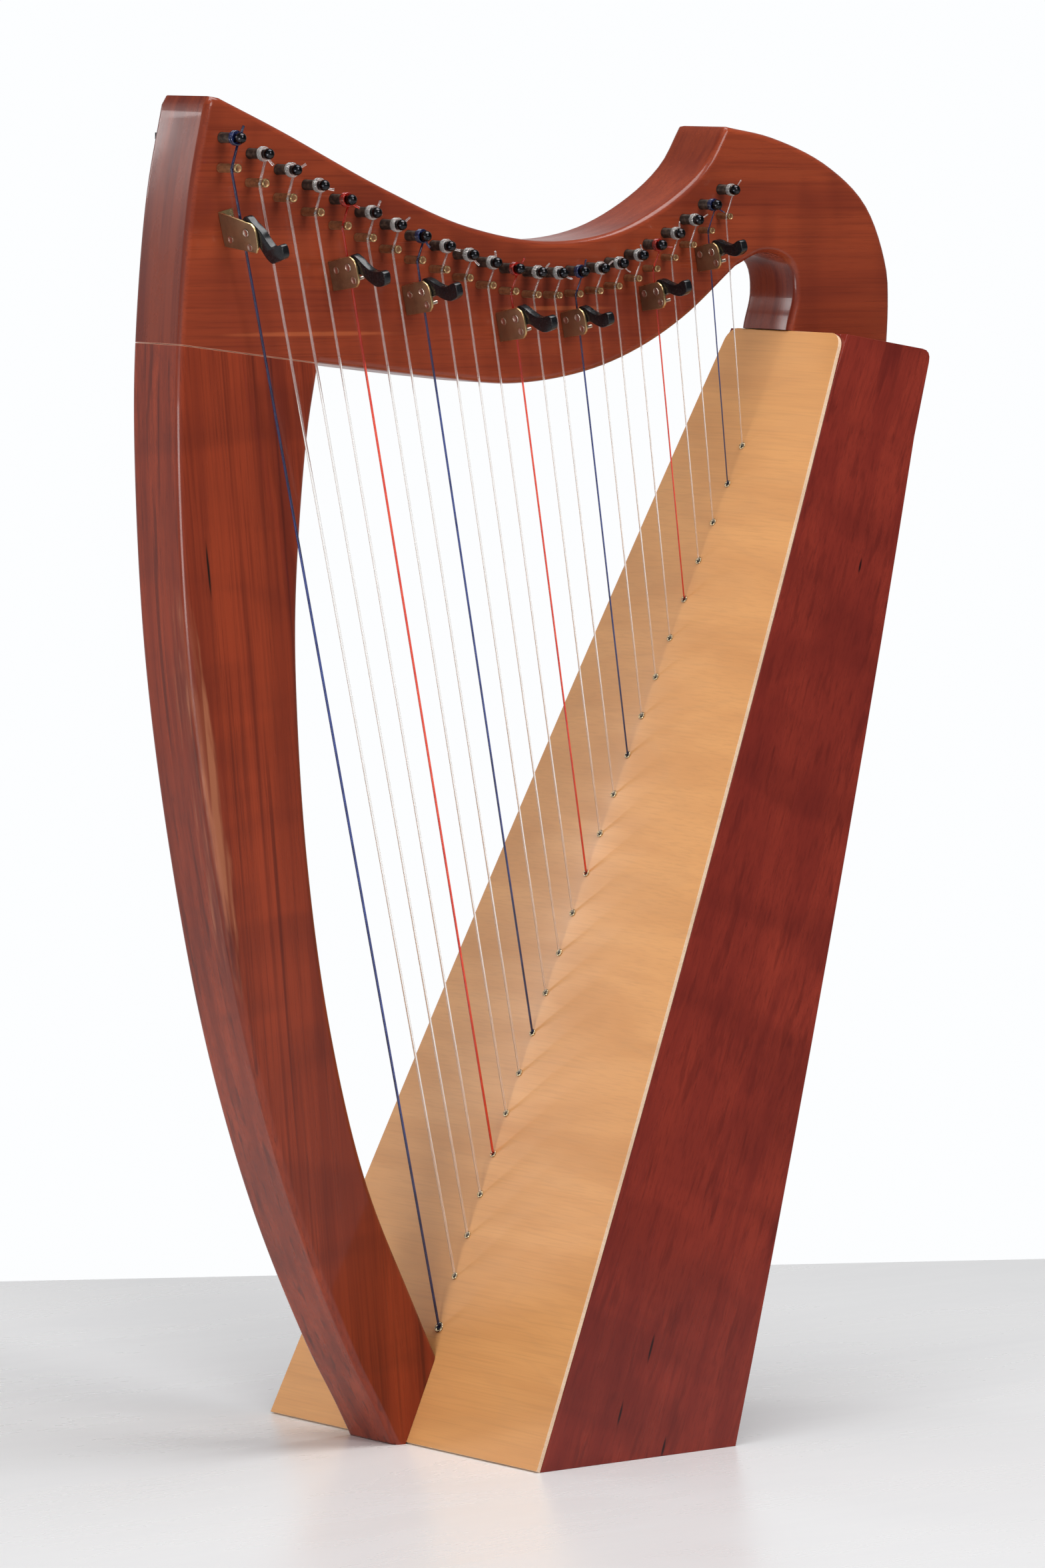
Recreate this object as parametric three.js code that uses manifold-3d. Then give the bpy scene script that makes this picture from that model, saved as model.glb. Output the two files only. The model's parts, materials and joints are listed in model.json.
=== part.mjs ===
// Lever harp with 23 strings, standing on the floor. Millimetres, +Z up.
// The pillar is at -X, the soundbox at +X, and the strings hang on the -Y side of the neck.
import * as THREE from 'three';
import { mergeVertices } from 'three/addons/utils/BufferGeometryUtils.js';
import Module from 'manifold-3d';

const wasm = await Module();
wasm.setup();

// ---------- driving dimensions ----------
const FIT_GAP = 0.3;             // clearance between pieces that are glued or screwed together

const BOARD_LEAN = 66.3;         // soundboard angle from the floor, degrees
const BOARD_LENGTH = 776;        // along the slope
const BOARD_THICKNESS = 3;
const BOARD_HALF_BOTTOM = 137.7; // half widths of the soundbox at its two ends
const BOARD_HALF_TOP = 55.9;
const SIDE_BULGE = 6.5;          // outward bow of each side half way up
const BOARD_CORNER = 9;          // rounding of the two upper corners
const BOARD_LIFT = 1.2;          // lower edge of the soundboard above the floor
const BELLY = 8.5;               // how far the strings have drawn the soundboard outward
const BELLY_CENTRE = 400;
const BELLY_REACH = 334;

const BOX_REAR_FOOT = 170.4;     // rear edge of the box on the floor
const BOX_REAR_TOP = [391.3, 698.6];
const BOX_REAR_CORNER = 8;
const SIDE_THICKNESS = 6;
const BACK_THICKNESS = 4;
const BOTTOM_THICKNESS = 12;
const TOP_BLOCK_THICKNESS = 24;

const FRAME_FACE = -6;           // string side of the neck and pillar
const FRAME_THICKNESS = 50;
const EDGE_ROUND = 4.5;          // rounding of the neck and pillar edges

const STRING_COUNT = 23;
const STRING_SIDES = 6;
const FIRST_STRING = 78.5;       // soundboard holes, measured up the slope
const SECOND_STRING = 113.2;
const STRING_SPACING = 27.6;
const STRING_HOLE = 1.9;
const HOLE_SIDES = 6;
const BASS_STRING = 0.85;        // string radii
const TREBLE_STRING = 0.4;
const BASS_STRING_OUT = 16.2;    // distance of the strings from the neck at the bridge pins
const TREBLE_STRING_OUT = 10.4;
const COIL_PLACE = 0.52;         // where the string leaves its tuning pin, share of the pin's outer length
const BRIDGE_BITE = 0.2;         // depth of the groove that holds the string on its bridge pin

const PIN_RADIUS = 3.3;          // tuning pin
const PIN_SIDES = 12;
const PIN_CLEARANCE = 0.4;
const BASS_PIN_OUT = 23;         // length of tuning pin outside the neck, string side
const TREBLE_PIN_OUT = 18.4;
const PIN_TAIL = 5;              // round part outside the neck, key side
const KEY_SQUARE = 4.2;
const KEY_LENGTH = 12;

const BASS_BRIDGE_RADIUS = 2.9;  // bridge pins
const TREBLE_BRIDGE_RADIUS = 2.1;
const BASS_BRIDGE_OUT = 19;
const TREBLE_BRIDGE_OUT = 12.6;
const BRIDGE_SIDES = 8;

// Levers: number of the string, distance of the plate below the bridge pin, tilt of the handle in degrees.
const LEVERS = [[1, 27, 0], [5, 22.3, 7], [8, 16.1, -9], [12, 13.4, -2], [15, 11.7, -5.5], [19, 11, -14],
  [22, 10.3, -15]];
const PLATE_THICKNESS = 1.6;
const PLATE_TO_STRING = 3.4;     // string centre from the plate
const LEVER_HANDLE_WIDTH = 5;

// ---------- materials ----------
const material = (color, roughness, metalness = 0) =>
  new THREE.MeshStandardMaterial({ color, roughness, metalness });
const cherry = material(0x86311f, 0.3);
const darkCherry = material(0x6e261d, 0.3);
const birch = material(0xdca56a, 0.35);
const plainMaple = material(0xc9a071, 0.6);
const blued = material(0x1b1d20, 0.35, 0.9);
const brass = material(0x86754a, 0.4, 0.9);
const blackPlastic = material(0x0c0d0f, 0.2);
const nylon = material(0xd8dad6, 0.35);

const part = new THREE.Group();
part.name = 'lever_harp';

// ---------- helpers ----------
const radians = THREE.MathUtils.degToRad;
const mix = THREE.MathUtils.lerp;

function toSolid(geometry) {
  const bare = geometry.index ? geometry.toNonIndexed() : geometry.clone();
  bare.deleteAttribute('normal');
  bare.deleteAttribute('uv');
  const merged = mergeVertices(bare, 1e-4);
  return new wasm.Manifold(new wasm.Mesh({
    numProp: 3,
    vertProperties: new Float32Array(merged.attributes.position.array),
    triVerts: new Uint32Array(merged.index.array),
  }));
}

function toGeometry(solid) {
  const mesh = solid.getMesh();
  const geometry = new THREE.BufferGeometry();
  geometry.setAttribute('position', new THREE.BufferAttribute(mesh.vertProperties, 3));
  geometry.setIndex(new THREE.BufferAttribute(mesh.triVerts, 1));
  return geometry;
}

function addPiece(name, solid, look) {
  const geometry = solid.isBufferGeometry ? solid : toGeometry(solid);
  geometry.deleteAttribute('uv');
  geometry.computeVertexNormals();
  const mesh = new THREE.Mesh(geometry, look);
  mesh.name = name;
  part.add(mesh);
}

const shapeOf = (outline) => new THREE.Shape(outline.map(([a, b]) => new THREE.Vector2(a, b)));

// Prism whose outline is drawn in the X-Z plane and which runs from yLow to yHigh.
function sidePrism(outline, yLow, yHigh, round = 0) {
  const geometry = new THREE.ExtrudeGeometry(shapeOf(outline), {
    depth: yHigh - yLow - 2 * round, curveSegments: 1, steps: 1,
    bevelEnabled: round > 0, bevelSize: round, bevelThickness: round,
    bevelOffset: -round, bevelSegments: 2,
  });
  geometry.rotateX(Math.PI / 2);
  geometry.translate(0, yHigh - round, 0);
  return geometry;
}

// Directions of the soundboard: up the slope, across, and outward to the strings.
const up = new THREE.Vector3(Math.cos(radians(BOARD_LEAN)), 0, Math.sin(radians(BOARD_LEAN)));
const across = new THREE.Vector3(0, 1, 0);
const out = new THREE.Vector3().crossVectors(up, across);
const boardFrame = new THREE.Matrix4().makeBasis(up, across, out);
const onBoard = (s, v, n) => new THREE.Vector3(s, v, n).applyMatrix4(boardFrame);

// Prism whose outline is drawn on the soundboard plane, between two depths.
function boardPrism(outline, nLow, nHigh) {
  const geometry = new THREE.ExtrudeGeometry(shapeOf(outline), {
    depth: nHigh - nLow, bevelEnabled: false, steps: 1,
  });
  geometry.translate(0, 0, nLow);
  geometry.applyMatrix4(boardFrame);
  return geometry;
}

// Cylinder from one point to another.
function rod(from, to, radius, sides, radiusEnd = radius) {
  const axis = new THREE.Vector3().subVectors(to, from);
  const geometry = new THREE.CylinderGeometry(radiusEnd, radius, axis.length(), sides);
  geometry.translate(0, axis.length() / 2, 0);
  geometry.applyQuaternion(new THREE.Quaternion().setFromUnitVectors(
    new THREE.Vector3(0, 1, 0), axis.normalize()));
  geometry.translate(from.x, from.y, from.z);
  return geometry;
}

// Round cord through a few points, with mitred bends and closed ends.
function sweep(points, radius, sides) {
  const positions = [];
  const index = [];
  const axisOf = (i) => new THREE.Vector3().subVectors(points[i + 1], points[i]).normalize();
  const last = points.length - 1;
  points.forEach((point, i) => {
    const before = axisOf(Math.max(i - 1, 0));
    const after = axisOf(Math.min(i, last - 1));
    const axis = before.clone().add(after).normalize();
    const side = new THREE.Vector3(0, 1, 0).cross(axis).normalize();
    const third = new THREE.Vector3().crossVectors(axis, side);
    for (let k = 0; k < sides; k += 1) {
      const angle = (2 * Math.PI * k) / sides;
      const p = point.clone().addScaledVector(side, radius * Math.cos(angle))
        .addScaledVector(third, radius * Math.sin(angle));
      positions.push(p.x, p.y, p.z);
    }
  });
  for (let k = 0; k < sides; k += 1) {
    const next = (k + 1) % sides;
    for (let i = 0; i < last; i += 1) {
      const a = i * sides + k;
      const b = i * sides + next;
      index.push(a, b, b + sides, a, b + sides, a + sides);
    }
    if (k > 0 && next > 0) {
      index.push(0, next, k, last * sides, last * sides + k, last * sides + next);
    }
  }
  const geometry = new THREE.BufferGeometry();
  geometry.setAttribute('position', new THREE.Float32BufferAttribute(positions, 3));
  geometry.setIndex(index);
  return geometry;
}

// Smooth curve through a few points, sampled at equal steps.
function smooth(points, count) {
  const curve = new THREE.CatmullRomCurve3(
    points.map(([x, z]) => new THREE.Vector3(x, 0, z)), false, 'centripetal');
  return curve.getSpacedPoints(count).map((p) => [p.x, p.z]);
}

// Point for any position on a smooth curve through the keys [position, x, z].
function keyed(keys, position) {
  const curve = new THREE.CatmullRomCurve3(keys.map(([, x, z]) => new THREE.Vector3(x, 0, z)),
    false, 'centripetal');
  let span = 0;
  while (span < keys.length - 2 && position > keys[span + 1][0]) span += 1;
  const along = (position - keys[span][0]) / (keys[span + 1][0] - keys[span][0]);
  const p = curve.getPoint((span + along) / (keys.length - 1));
  return [p.x, p.z];
}

// ---------- soundbox ----------
const BEYOND = 220;              // further than any part of the soundbox reaches
const BELLY_SHAPE = 1.4;         // how the belly falls off toward the two sides
function halfWidth(s) {
  const t = Math.min(s / BOARD_LENGTH, 1);
  return mix(BOARD_HALF_BOTTOM, BOARD_HALF_TOP, t) + 4 * SIDE_BULGE * t * (1 - t);
}
function bellyAt(s, fraction) {
  const rise = 1 - ((s - BELLY_CENTRE) / BELLY_REACH) ** 2;
  return rise > 0 ? BELLY * rise * (1 - Math.abs(fraction) ** BELLY_SHAPE) : 0;
}

// Closed sheet following the belly of the soundboard.
function bellySheet(stations, half, fractions, depthTop, depthBottom) {
  const rows = stations.length;
  const columns = fractions.length;
  const positions = [];
  for (const depth of [depthTop, depthBottom]) {
    for (const s of stations) {
      for (const f of fractions) {
        const v = f * half(s);
        const p = onBoard(s, v, bellyAt(s, v / halfWidth(s)) + depth);
        positions.push(p.x, p.y, p.z);
      }
    }
  }
  const index = [];
  const at = (layer, i, j) => layer * rows * columns + i * columns + j;
  const quad = (a, b, c, d) => index.push(a, b, c, a, c, d);
  for (let i = 0; i < rows - 1; i += 1) {
    for (let j = 0; j < columns - 1; j += 1) {
      quad(at(0, i, j), at(0, i + 1, j), at(0, i + 1, j + 1), at(0, i, j + 1));
      quad(at(1, i, j), at(1, i, j + 1), at(1, i + 1, j + 1), at(1, i + 1, j));
    }
    quad(at(0, i, 0), at(1, i, 0), at(1, i + 1, 0), at(0, i + 1, 0));
    quad(at(0, i, columns - 1), at(0, i + 1, columns - 1),
      at(1, i + 1, columns - 1), at(1, i, columns - 1));
  }
  for (let j = 0; j < columns - 1; j += 1) {
    quad(at(0, 0, j), at(0, 0, j + 1), at(1, 0, j + 1), at(1, 0, j));
    quad(at(0, rows - 1, j), at(1, rows - 1, j), at(1, rows - 1, j + 1), at(0, rows - 1, j + 1));
  }
  const geometry = new THREE.BufferGeometry();
  geometry.setAttribute('position', new THREE.Float32BufferAttribute(positions, 3));
  geometry.setIndex(index);
  return geometry;
}

const boxTopFront = onBoard(BOARD_LENGTH, 0, 0);
const rearDirection = new THREE.Vector2(BOX_REAR_TOP[0] - BOX_REAR_FOOT, BOX_REAR_TOP[1]).normalize();
const rearInward = new THREE.Vector2(-rearDirection.y, rearDirection.x);
const topDirection = new THREE.Vector2(
  BOX_REAR_TOP[0] - boxTopFront.x, BOX_REAR_TOP[1] - boxTopFront.z).normalize();

// A point of the rear face at a height along it and a depth into the box.
function rearPoint(along, depth) {
  return [BOX_REAR_FOOT + rearDirection.x * along + rearInward.x * depth,
    rearDirection.y * along + rearInward.y * depth];
}
const rearLength = Math.hypot(BOX_REAR_TOP[0] - BOX_REAR_FOOT, BOX_REAR_TOP[1]);

// A point of the top of the box at a distance back from the soundboard and a depth below it.
const topDown = new THREE.Vector2(topDirection.y, -topDirection.x);
function topPoint(along, depth) {
  return [boxTopFront.x + topDirection.x * along + topDown.x * depth,
    boxTopFront.z + topDirection.y * along + topDown.y * depth];
}

// Slab across the whole width of the box, drawn in the side view.
const slab = (points) => toSolid(sidePrism(points, -BEYOND, BEYOND));

// Side view of the whole box with its rounded upper rear corner.
function boxProfile() {
  const corner = [];
  const start = new THREE.Vector2(...BOX_REAR_TOP).addScaledVector(rearDirection, -BOX_REAR_CORNER);
  const end = new THREE.Vector2(...BOX_REAR_TOP).addScaledVector(topDirection, -BOX_REAR_CORNER);
  const bend = new THREE.QuadraticBezierCurve(start, new THREE.Vector2(...BOX_REAR_TOP), end);
  for (const p of bend.getPoints(4)) corner.push([p.x, p.y]);
  return [[-30, 0], [BOX_REAR_FOOT, 0], ...corner, [boxTopFront.x, boxTopFront.z],
    [boxTopFront.x - 30, boxTopFront.z + 30]];
}

const SIDE_STATIONS = 12;
function sideStations(from, to, steps = SIDE_STATIONS) {
  return Array.from({ length: steps + 1 }, (_, i) => mix(from, to, i / steps));
}
// Strip on the soundboard plane lying between two insets from the edge of the box.
function edgeBand(insetOuter, insetInner, side) {
  const stations = sideStations(-10, BOARD_LENGTH + 30);
  const outer = stations.map((s) => [s, side * (halfWidth(s) - insetOuter)]);
  const inner = stations.map((s) => [s, side * (halfWidth(s) - insetInner)]).reverse();
  return side < 0 ? [...outer, ...inner] : [...outer, ...inner].reverse();
}
function insideOutline(inset) {
  const stations = sideStations(-10, BOARD_LENGTH + 30);
  return [...stations.map((s) => [s, -(halfWidth(s) - inset)]),
    ...stations.map((s) => [s, halfWidth(s) - inset]).reverse()];
}

const FRONT_DEPTH = -(BOARD_THICKNESS + FIT_GAP);
const boxBlank = slab(boxProfile());
const cavityInset = SIDE_THICKNESS + FIT_GAP;
const between = toSolid(boardPrism(insideOutline(cavityInset), -BEYOND, FRONT_DEPTH));

for (const [name, side] of [['side_left', -1], ['side_right', 1]]) {
  const band = toSolid(boardPrism(edgeBand(0, SIDE_THICKNESS, side), -BEYOND, FRONT_DEPTH));
  addPiece(name, band.intersect(boxBlank), darkCherry);
}

// Holes for the strings, in line up the middle of the soundboard.
function stringFoot(i) {
  const s = i === 0 ? FIRST_STRING : SECOND_STRING + STRING_SPACING * (i - 1);
  return { s, point: onBoard(s, 0, bellyAt(s, 0)) };
}
const strings = [];
for (let i = 0; i < STRING_COUNT; i += 1) {
  const t = i / (STRING_COUNT - 1);
  strings.push({
    t,
    foot: stringFoot(i),
    radius: mix(BASS_STRING, TREBLE_STRING, t),
    out: mix(BASS_STRING_OUT, TREBLE_STRING_OUT, t),
    bridgeRadius: mix(BASS_BRIDGE_RADIUS, TREBLE_BRIDGE_RADIUS, t),
    bridgeOut: mix(BASS_BRIDGE_OUT, TREBLE_BRIDGE_OUT, t),
    pinOut: mix(BASS_PIN_OUT, TREBLE_PIN_OUT, t),
  });
}

const boardStations = [0, 66, 110, 160, 230, 310, 400, 490, 570, 640, 700, 734,
  BOARD_LENGTH - BOARD_CORNER, BOARD_LENGTH - BOARD_CORNER / 2,
  BOARD_LENGTH - BOARD_CORNER / 8, BOARD_LENGTH];
function boardHalf(s) {
  const past = s - (BOARD_LENGTH - BOARD_CORNER);
  const rounding = past > 0 ? BOARD_CORNER - Math.sqrt(BOARD_CORNER ** 2 - past ** 2) : 0;
  return halfWidth(s) - rounding;
}
const boardFractions = [-1, -0.65, -0.3, 0, 0.3, 0.65, 1];
let board = toSolid(bellySheet(boardStations, boardHalf, boardFractions, 0, -BOARD_THICKNESS));
board = board.subtract(slab([[-BEYOND, -BEYOND], [BEYOND, -BEYOND], [BEYOND, BOARD_LIFT],
  [-BEYOND, BOARD_LIFT]]));

const RIB_HALF = 11;
const RIB_THICKNESS = 8;
const ribBottom = FRONT_DEPTH - RIB_THICKNESS;
const ribStations = [66, 110, 160, 230, 310, 400, 490, 570, 640, 700, 734];
let rib = toSolid(bellySheet(ribStations, () => RIB_HALF, [-1, 1], FRONT_DEPTH, ribBottom));

// ---------- strings and their pins on the neck ----------
// Places of the bridge pins, by string number: [number, x, z].
const BRIDGE_LINE = [[1, -160.5, 816.2], [5, -72.4, 780.6], [9, 8.4, 752.8], [13, 84.5, 736.4],
  [17, 152.8, 741.4], [20, 200.7, 759.4], [23, 247.5, 786]];
const TUNING_RISE_MID = 14.3;    // tuning pins above the bridge pins, middle of the neck
const TUNING_RISE_END = 18;
const TUNING_SHIFT = 1.2;

for (const [i, string] of strings.entries()) {
  const [x, z] = keyed(BRIDGE_LINE, i + 1);
  const fromMiddle = Math.abs(2 * string.t - 1.1);
  string.bridge = new THREE.Vector3(x, FRAME_FACE, z);
  string.pin = new THREE.Vector3(x + TUNING_SHIFT, FRAME_FACE,
    z + mix(TUNING_RISE_MID, TUNING_RISE_END, fromMiddle ** 2));
  string.contact = new THREE.Vector3(
    x - string.bridgeRadius - string.radius + BRIDGE_BITE, FRAME_FACE - string.out, z);
  string.length = string.contact.distanceTo(string.foot.point);
  string.direction = new THREE.Vector3().subVectors(string.foot.point, string.contact).normalize();
}

const HOLE_REACH = [5, -20];     // from in front of the soundboard to behind the rib
for (const { foot } of strings) {
  const [front, rear] = HOLE_REACH.map((n) => foot.point.clone().addScaledVector(out, n));
  const hole = toSolid(rod(front, rear, STRING_HOLE, HOLE_SIDES));
  board = board.subtract(hole);
  rib = rib.subtract(hole);
}
addPiece('soundboard', board, birch);
addPiece('string_rib', rib, plainMaple);

// Flat strip behind the rib that all the strings are knotted to.
const ANCHOR_HALF = 5;
const ANCHOR_THICKNESS = 2.4;
const anchorTop = ribBottom - FIT_GAP;
let stringSet = toSolid(bellySheet(ribStations, () => ANCHOR_HALF, [-1, 1],
  anchorTop, anchorTop - ANCHOR_THICKNESS));
// The string leaves the +X side of its tuning pin along the tangent to the bridge pin.
function stringStart({ pin, contact, radius, pinOut }) {
  const reach = PIN_RADIUS + radius + FIT_GAP;
  const dx = contact.x - pin.x;
  const dz = contact.z - pin.z;
  const angle = Math.atan2(dz, dx) + Math.acos(reach / Math.hypot(dx, dz));
  return new THREE.Vector3(pin.x + reach * Math.cos(angle), FRAME_FACE - pinOut * COIL_PLACE,
    pin.z + reach * Math.sin(angle));
}
for (const string of strings) {
  const top = stringStart(string);
  const { point } = string.foot;
  const end = point.clone().addScaledVector(out, anchorTop - ANCHOR_THICKNESS / 2);
  const line = toSolid(sweep([top, string.contact, point, end], string.radius, STRING_SIDES));
  const peg = toSolid(rod(
    new THREE.Vector3(string.bridge.x, FRAME_FACE - FIT_GAP, string.bridge.z),
    new THREE.Vector3(string.bridge.x, FRAME_FACE - string.bridgeOut, string.bridge.z),
    string.bridgeRadius, BRIDGE_SIDES));
  stringSet = stringSet.add(line.add(peg));
}
addPiece('string_set', stringSet, nylon);

// ---------- neck and pillar ----------
// Front of the neck and pillar from the floor to the top corner.
const FRONT_LINE = [[8, -30], [-21, 22], [-44, 60], [-89, 151], [-127, 256], [-157, 377],
  [-180, 512], [-190, 646], [-189.5, 713], [-182, 800], [-171, 855]];
const NECK_TOP = [[-160, 859.5], [-112, 840], [-27, 803], [38, 780], [104, 770], [160, 776],
  [205, 795], [237, 819], [253, 843.5]];
const SHOULDER = [[256, 844], [296, 837], [343, 819.5], [378, 793], [397, 753], [400, 728], [397, 670]];
const ARCH = [[308, 670], [311, 711], [316.5, 734], [313.5, 751.5], [303.5, 759.5], [286.5, 761.5],
  [265, 753]];
const NECK_UNDER = [[265, 753], [221, 720], [178, 698], [134, 685], [78, 679], [24, 683], [-79, 694]];
const INNER_LINE = [[-80, 693], [-88, 646], [-95, 546], [-93, 478], [-83, 377], [-64, 274],
  [-34, 174], [6, 92], [60, -10]];
const JOINT = [[-190, 706.8], [-79, 693.8]];   // seam between neck and pillar

const frameOutline = [
  ...smooth(FRONT_LINE, 16),
  [-167.5, 860.5],
  ...smooth(NECK_TOP, 14),
  ...smooth(SHOULDER, 12),
  ...smooth(ARCH, 12),
  ...smooth(NECK_UNDER, 14).slice(1),
  ...smooth(INNER_LINE, 14),
].reverse();
const frameBlank = toSolid(sidePrism(frameOutline, FRAME_FACE, FRAME_FACE + FRAME_THICKNESS, EDGE_ROUND));

// Everything on one side of a line in the side view.
function halfSpace([x0, z0], [x1, z1], shift) {
  const along = new THREE.Vector2(x1 - x0, z1 - z0).normalize();
  const normal = new THREE.Vector2(-along.y, along.x);
  const reach = 1500;
  const at = (a, n) => [x0 + along.x * a + normal.x * n, z0 + along.y * a + normal.y * n];
  return toSolid(sidePrism([at(-reach, shift), at(reach, shift), at(reach, reach), at(-reach, reach)],
    -300, 300));
}
const aboveJoint = halfSpace(...JOINT, FIT_GAP / 2);
const belowJoint = halfSpace(JOINT[1], JOINT[0], FIT_GAP / 2);
const boxTop = slab([topPoint(-14, -FIT_GAP), topPoint(-14, 100), topPoint(150, 100),
  topPoint(150, -FIT_GAP)]);
const aboveFloor = halfSpace([-400, 0], [400, 0], 0);
const frontOfBoard = halfSpace([0, 0], [boxTopFront.x, boxTopFront.z], FIT_GAP);

let neck = frameBlank.intersect(aboveJoint).subtract(boxTop);
const pinTip = FRAME_FACE + FRAME_THICKNESS;
for (const { pin } of strings) {
  neck = neck.subtract(toSolid(rod(
    new THREE.Vector3(pin.x, FRAME_FACE - 5, pin.z), new THREE.Vector3(pin.x, pinTip + 5, pin.z),
    PIN_RADIUS + PIN_CLEARANCE, PIN_SIDES)));
}
addPiece('neck', neck, cherry);
addPiece('pillar', frameBlank.intersect(belowJoint).intersect(frontOfBoard).intersect(aboveFloor), cherry);

// Tuning pins: round through the neck, squared at the key end.
for (const [i, { pin, pinOut }] of strings.entries()) {
  const tip = new THREE.Vector3(pin.x, FRAME_FACE - pinOut, pin.z);
  const tail = new THREE.Vector3(pin.x, pinTip + PIN_TAIL, pin.z);
  const square = new THREE.BoxGeometry(KEY_SQUARE, KEY_LENGTH + 1, KEY_SQUARE)
    .translate(pin.x, pinTip + PIN_TAIL + (KEY_LENGTH - 1) / 2, pin.z);
  const solid = toSolid(rod(tip, tail, PIN_RADIUS, PIN_SIDES)).add(toSolid(square));
  addPiece(`tuning_pin_${String(i + 1).padStart(2, '0')}`, solid, blued);
}

// ---------- the rest of the soundbox ----------
// Box side view offset inward: behind the soundboard and in front of the back.
const backInner = BACK_THICKNESS + FIT_GAP;
const behindBoard = halfSpace([boxTopFront.x, boxTopFront.z], [0, 0], -FRONT_DEPTH);
const beforeBack = halfSpace([BOX_REAR_FOOT, 0], BOX_REAR_TOP, backInner);

let back = slab([rearPoint(-20, 0), rearPoint(rearLength + 20, 0),
  rearPoint(rearLength + 20, BACK_THICKNESS), rearPoint(-20, BACK_THICKNESS)])
  .intersect(between).intersect(boxBlank);
const SOUND_HOLES = [[150, 38], [300, 34], [435, 29], [565, 24]];   // [height, half width]
const HOLE_HALF_HEIGHT = 42;
const OVAL_SIDES = 20;
for (const [height, half] of SOUND_HOLES) {
  const oval = new THREE.CylinderGeometry(1, 1, 10 * BACK_THICKNESS, OVAL_SIDES);
  oval.scale(half, 1, HOLE_HALF_HEIGHT);
  const [x, z] = rearPoint(height, 0);
  const turn = new THREE.Matrix4().makeBasis(
    new THREE.Vector3(0, 1, 0), new THREE.Vector3(rearInward.x, 0, rearInward.y),
    new THREE.Vector3(rearDirection.x, 0, rearDirection.y));
  oval.applyMatrix4(turn);
  oval.translate(x, 0, z);
  back = back.subtract(toSolid(oval));
}
addPiece('back_panel', back, darkCherry);

addPiece('bottom_panel', slab([[-BEYOND, 0], [BEYOND, 0], [BEYOND, BOTTOM_THICKNESS],
  [-BEYOND, BOTTOM_THICKNESS]])
  .intersect(behindBoard).intersect(beforeBack).intersect(between), darkCherry);

addPiece('top_block', slab([topPoint(-BEYOND, TOP_BLOCK_THICKNESS), topPoint(BEYOND, TOP_BLOCK_THICKNESS),
  topPoint(BEYOND, 0), topPoint(-BEYOND, 0)])
  .intersect(behindBoard).intersect(beforeBack).intersect(between), darkCherry);

// Strips that stiffen the corners of the box, and two cross braces behind the sound holes.
const aboveBottom = halfSpace([-400, BOTTOM_THICKNESS], [400, BOTTOM_THICKNESS], FIT_GAP);
const belowTop = halfSpace(topPoint(10, TOP_BLOCK_THICKNESS), topPoint(0, TOP_BLOCK_THICKNESS), FIT_GAP);
const LINER_WIDTH = 10;
const LINER_DEPTH = 12;
const rearStrip = (from, to) => slab([rearPoint(-60, from), rearPoint(rearLength + 60, from),
  rearPoint(rearLength + 60, to), rearPoint(-60, to)]);
for (const [name, side] of [['left', -1], ['right', 1]]) {
  const band = edgeBand(cavityInset, cavityInset + LINER_WIDTH, side);
  addPiece(`front_liner_${name}`, toSolid(boardPrism(band, FRONT_DEPTH - LINER_DEPTH, FRONT_DEPTH))
    .intersect(aboveBottom).intersect(belowTop), plainMaple);
  addPiece(`back_liner_${name}`, toSolid(boardPrism(band, -BEYOND, FRONT_DEPTH - LINER_DEPTH - FIT_GAP))
    .intersect(rearStrip(backInner, backInner + LINER_DEPTH))
    .intersect(aboveBottom).intersect(belowTop), plainMaple);
}
const BRACE_HEIGHTS = [225, 505];
const BRACE_THICKNESS = 12;
const BRACE_DEPTH = 22;
for (const [i, height] of BRACE_HEIGHTS.entries()) {
  const near = backInner + LINER_DEPTH + FIT_GAP;
  addPiece(`cross_brace_${i + 1}`, slab([rearPoint(height, near), rearPoint(height + BRACE_THICKNESS, near),
    rearPoint(height + BRACE_THICKNESS, near + BRACE_DEPTH), rearPoint(height, near + BRACE_DEPTH)])
    .intersect(between), plainMaple);
}

// ---------- semitone levers ----------
// Plate outlines: first number out from the neck, second down along the string.
const PLATE = [[0, 0], [22, -4], [26.5, -1], [28, 7], [27, 13], [24, 16], [0, 19.2]];
const BASS_PLATE = [[0, 0], [31, 7], [34, 11], [33.5, 22], [31, 25.6], [0, 22.2]];
// Handle outline around its pivot: first number out from the neck, second up along the string.
const HANDLE = [[-3.9, 1.2], [-3.2, -2.8], [0, -4.8], [4, -5], [10, -4], [16, -7], [23, -9.4], [29, -8.6],
  [32.2, -6.6], [32.8, -0.4], [30.5, 1.2], [24, 0.2], [19, 0.4], [13, 3], [7, 6.8], [1.6, 8.4], [-2.1, 5.1]];
const BASS_HANDLE = [[-4.8, 5], [-4.6, -3], [0, -5.6], [5.1, -5.4], [9, -11], [13.5, -17], [18, -19.8],
  [24, -18], [29, -16.8], [31, -14.6], [30.8, -9], [29, -7.6], [25, -8.8], [20.5, -9.4], [16, -5],
  [12, 0.6], [5, 6.4], [1.4, 9.8], [-1.8, 10.2], [-4.2, 8]];
const FOOT_WIDTH = 9;
const FOOT_THICKNESS = 1.5;
const PIVOT_RADIUS = 1.8;
const PIVOT_HEAD = 3.1;
const HEAD_HEIGHT = 0.7;
const STOP_RADIUS = 1.2;
const STOP_BEYOND = 1.5;         // how far the two stops reach past the handle
const STOP_RIVET = 0.6;          // and past the back of the plate
const PIVOT = [20, 3.2];         // pivot and stops on the plate, measured like the plate
const INNER_STOP = [7, 5.4];
const OUTER_STOP = [23, 11.4];
const SMALL_INNER_STOP = [5.4, 5.4];
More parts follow.
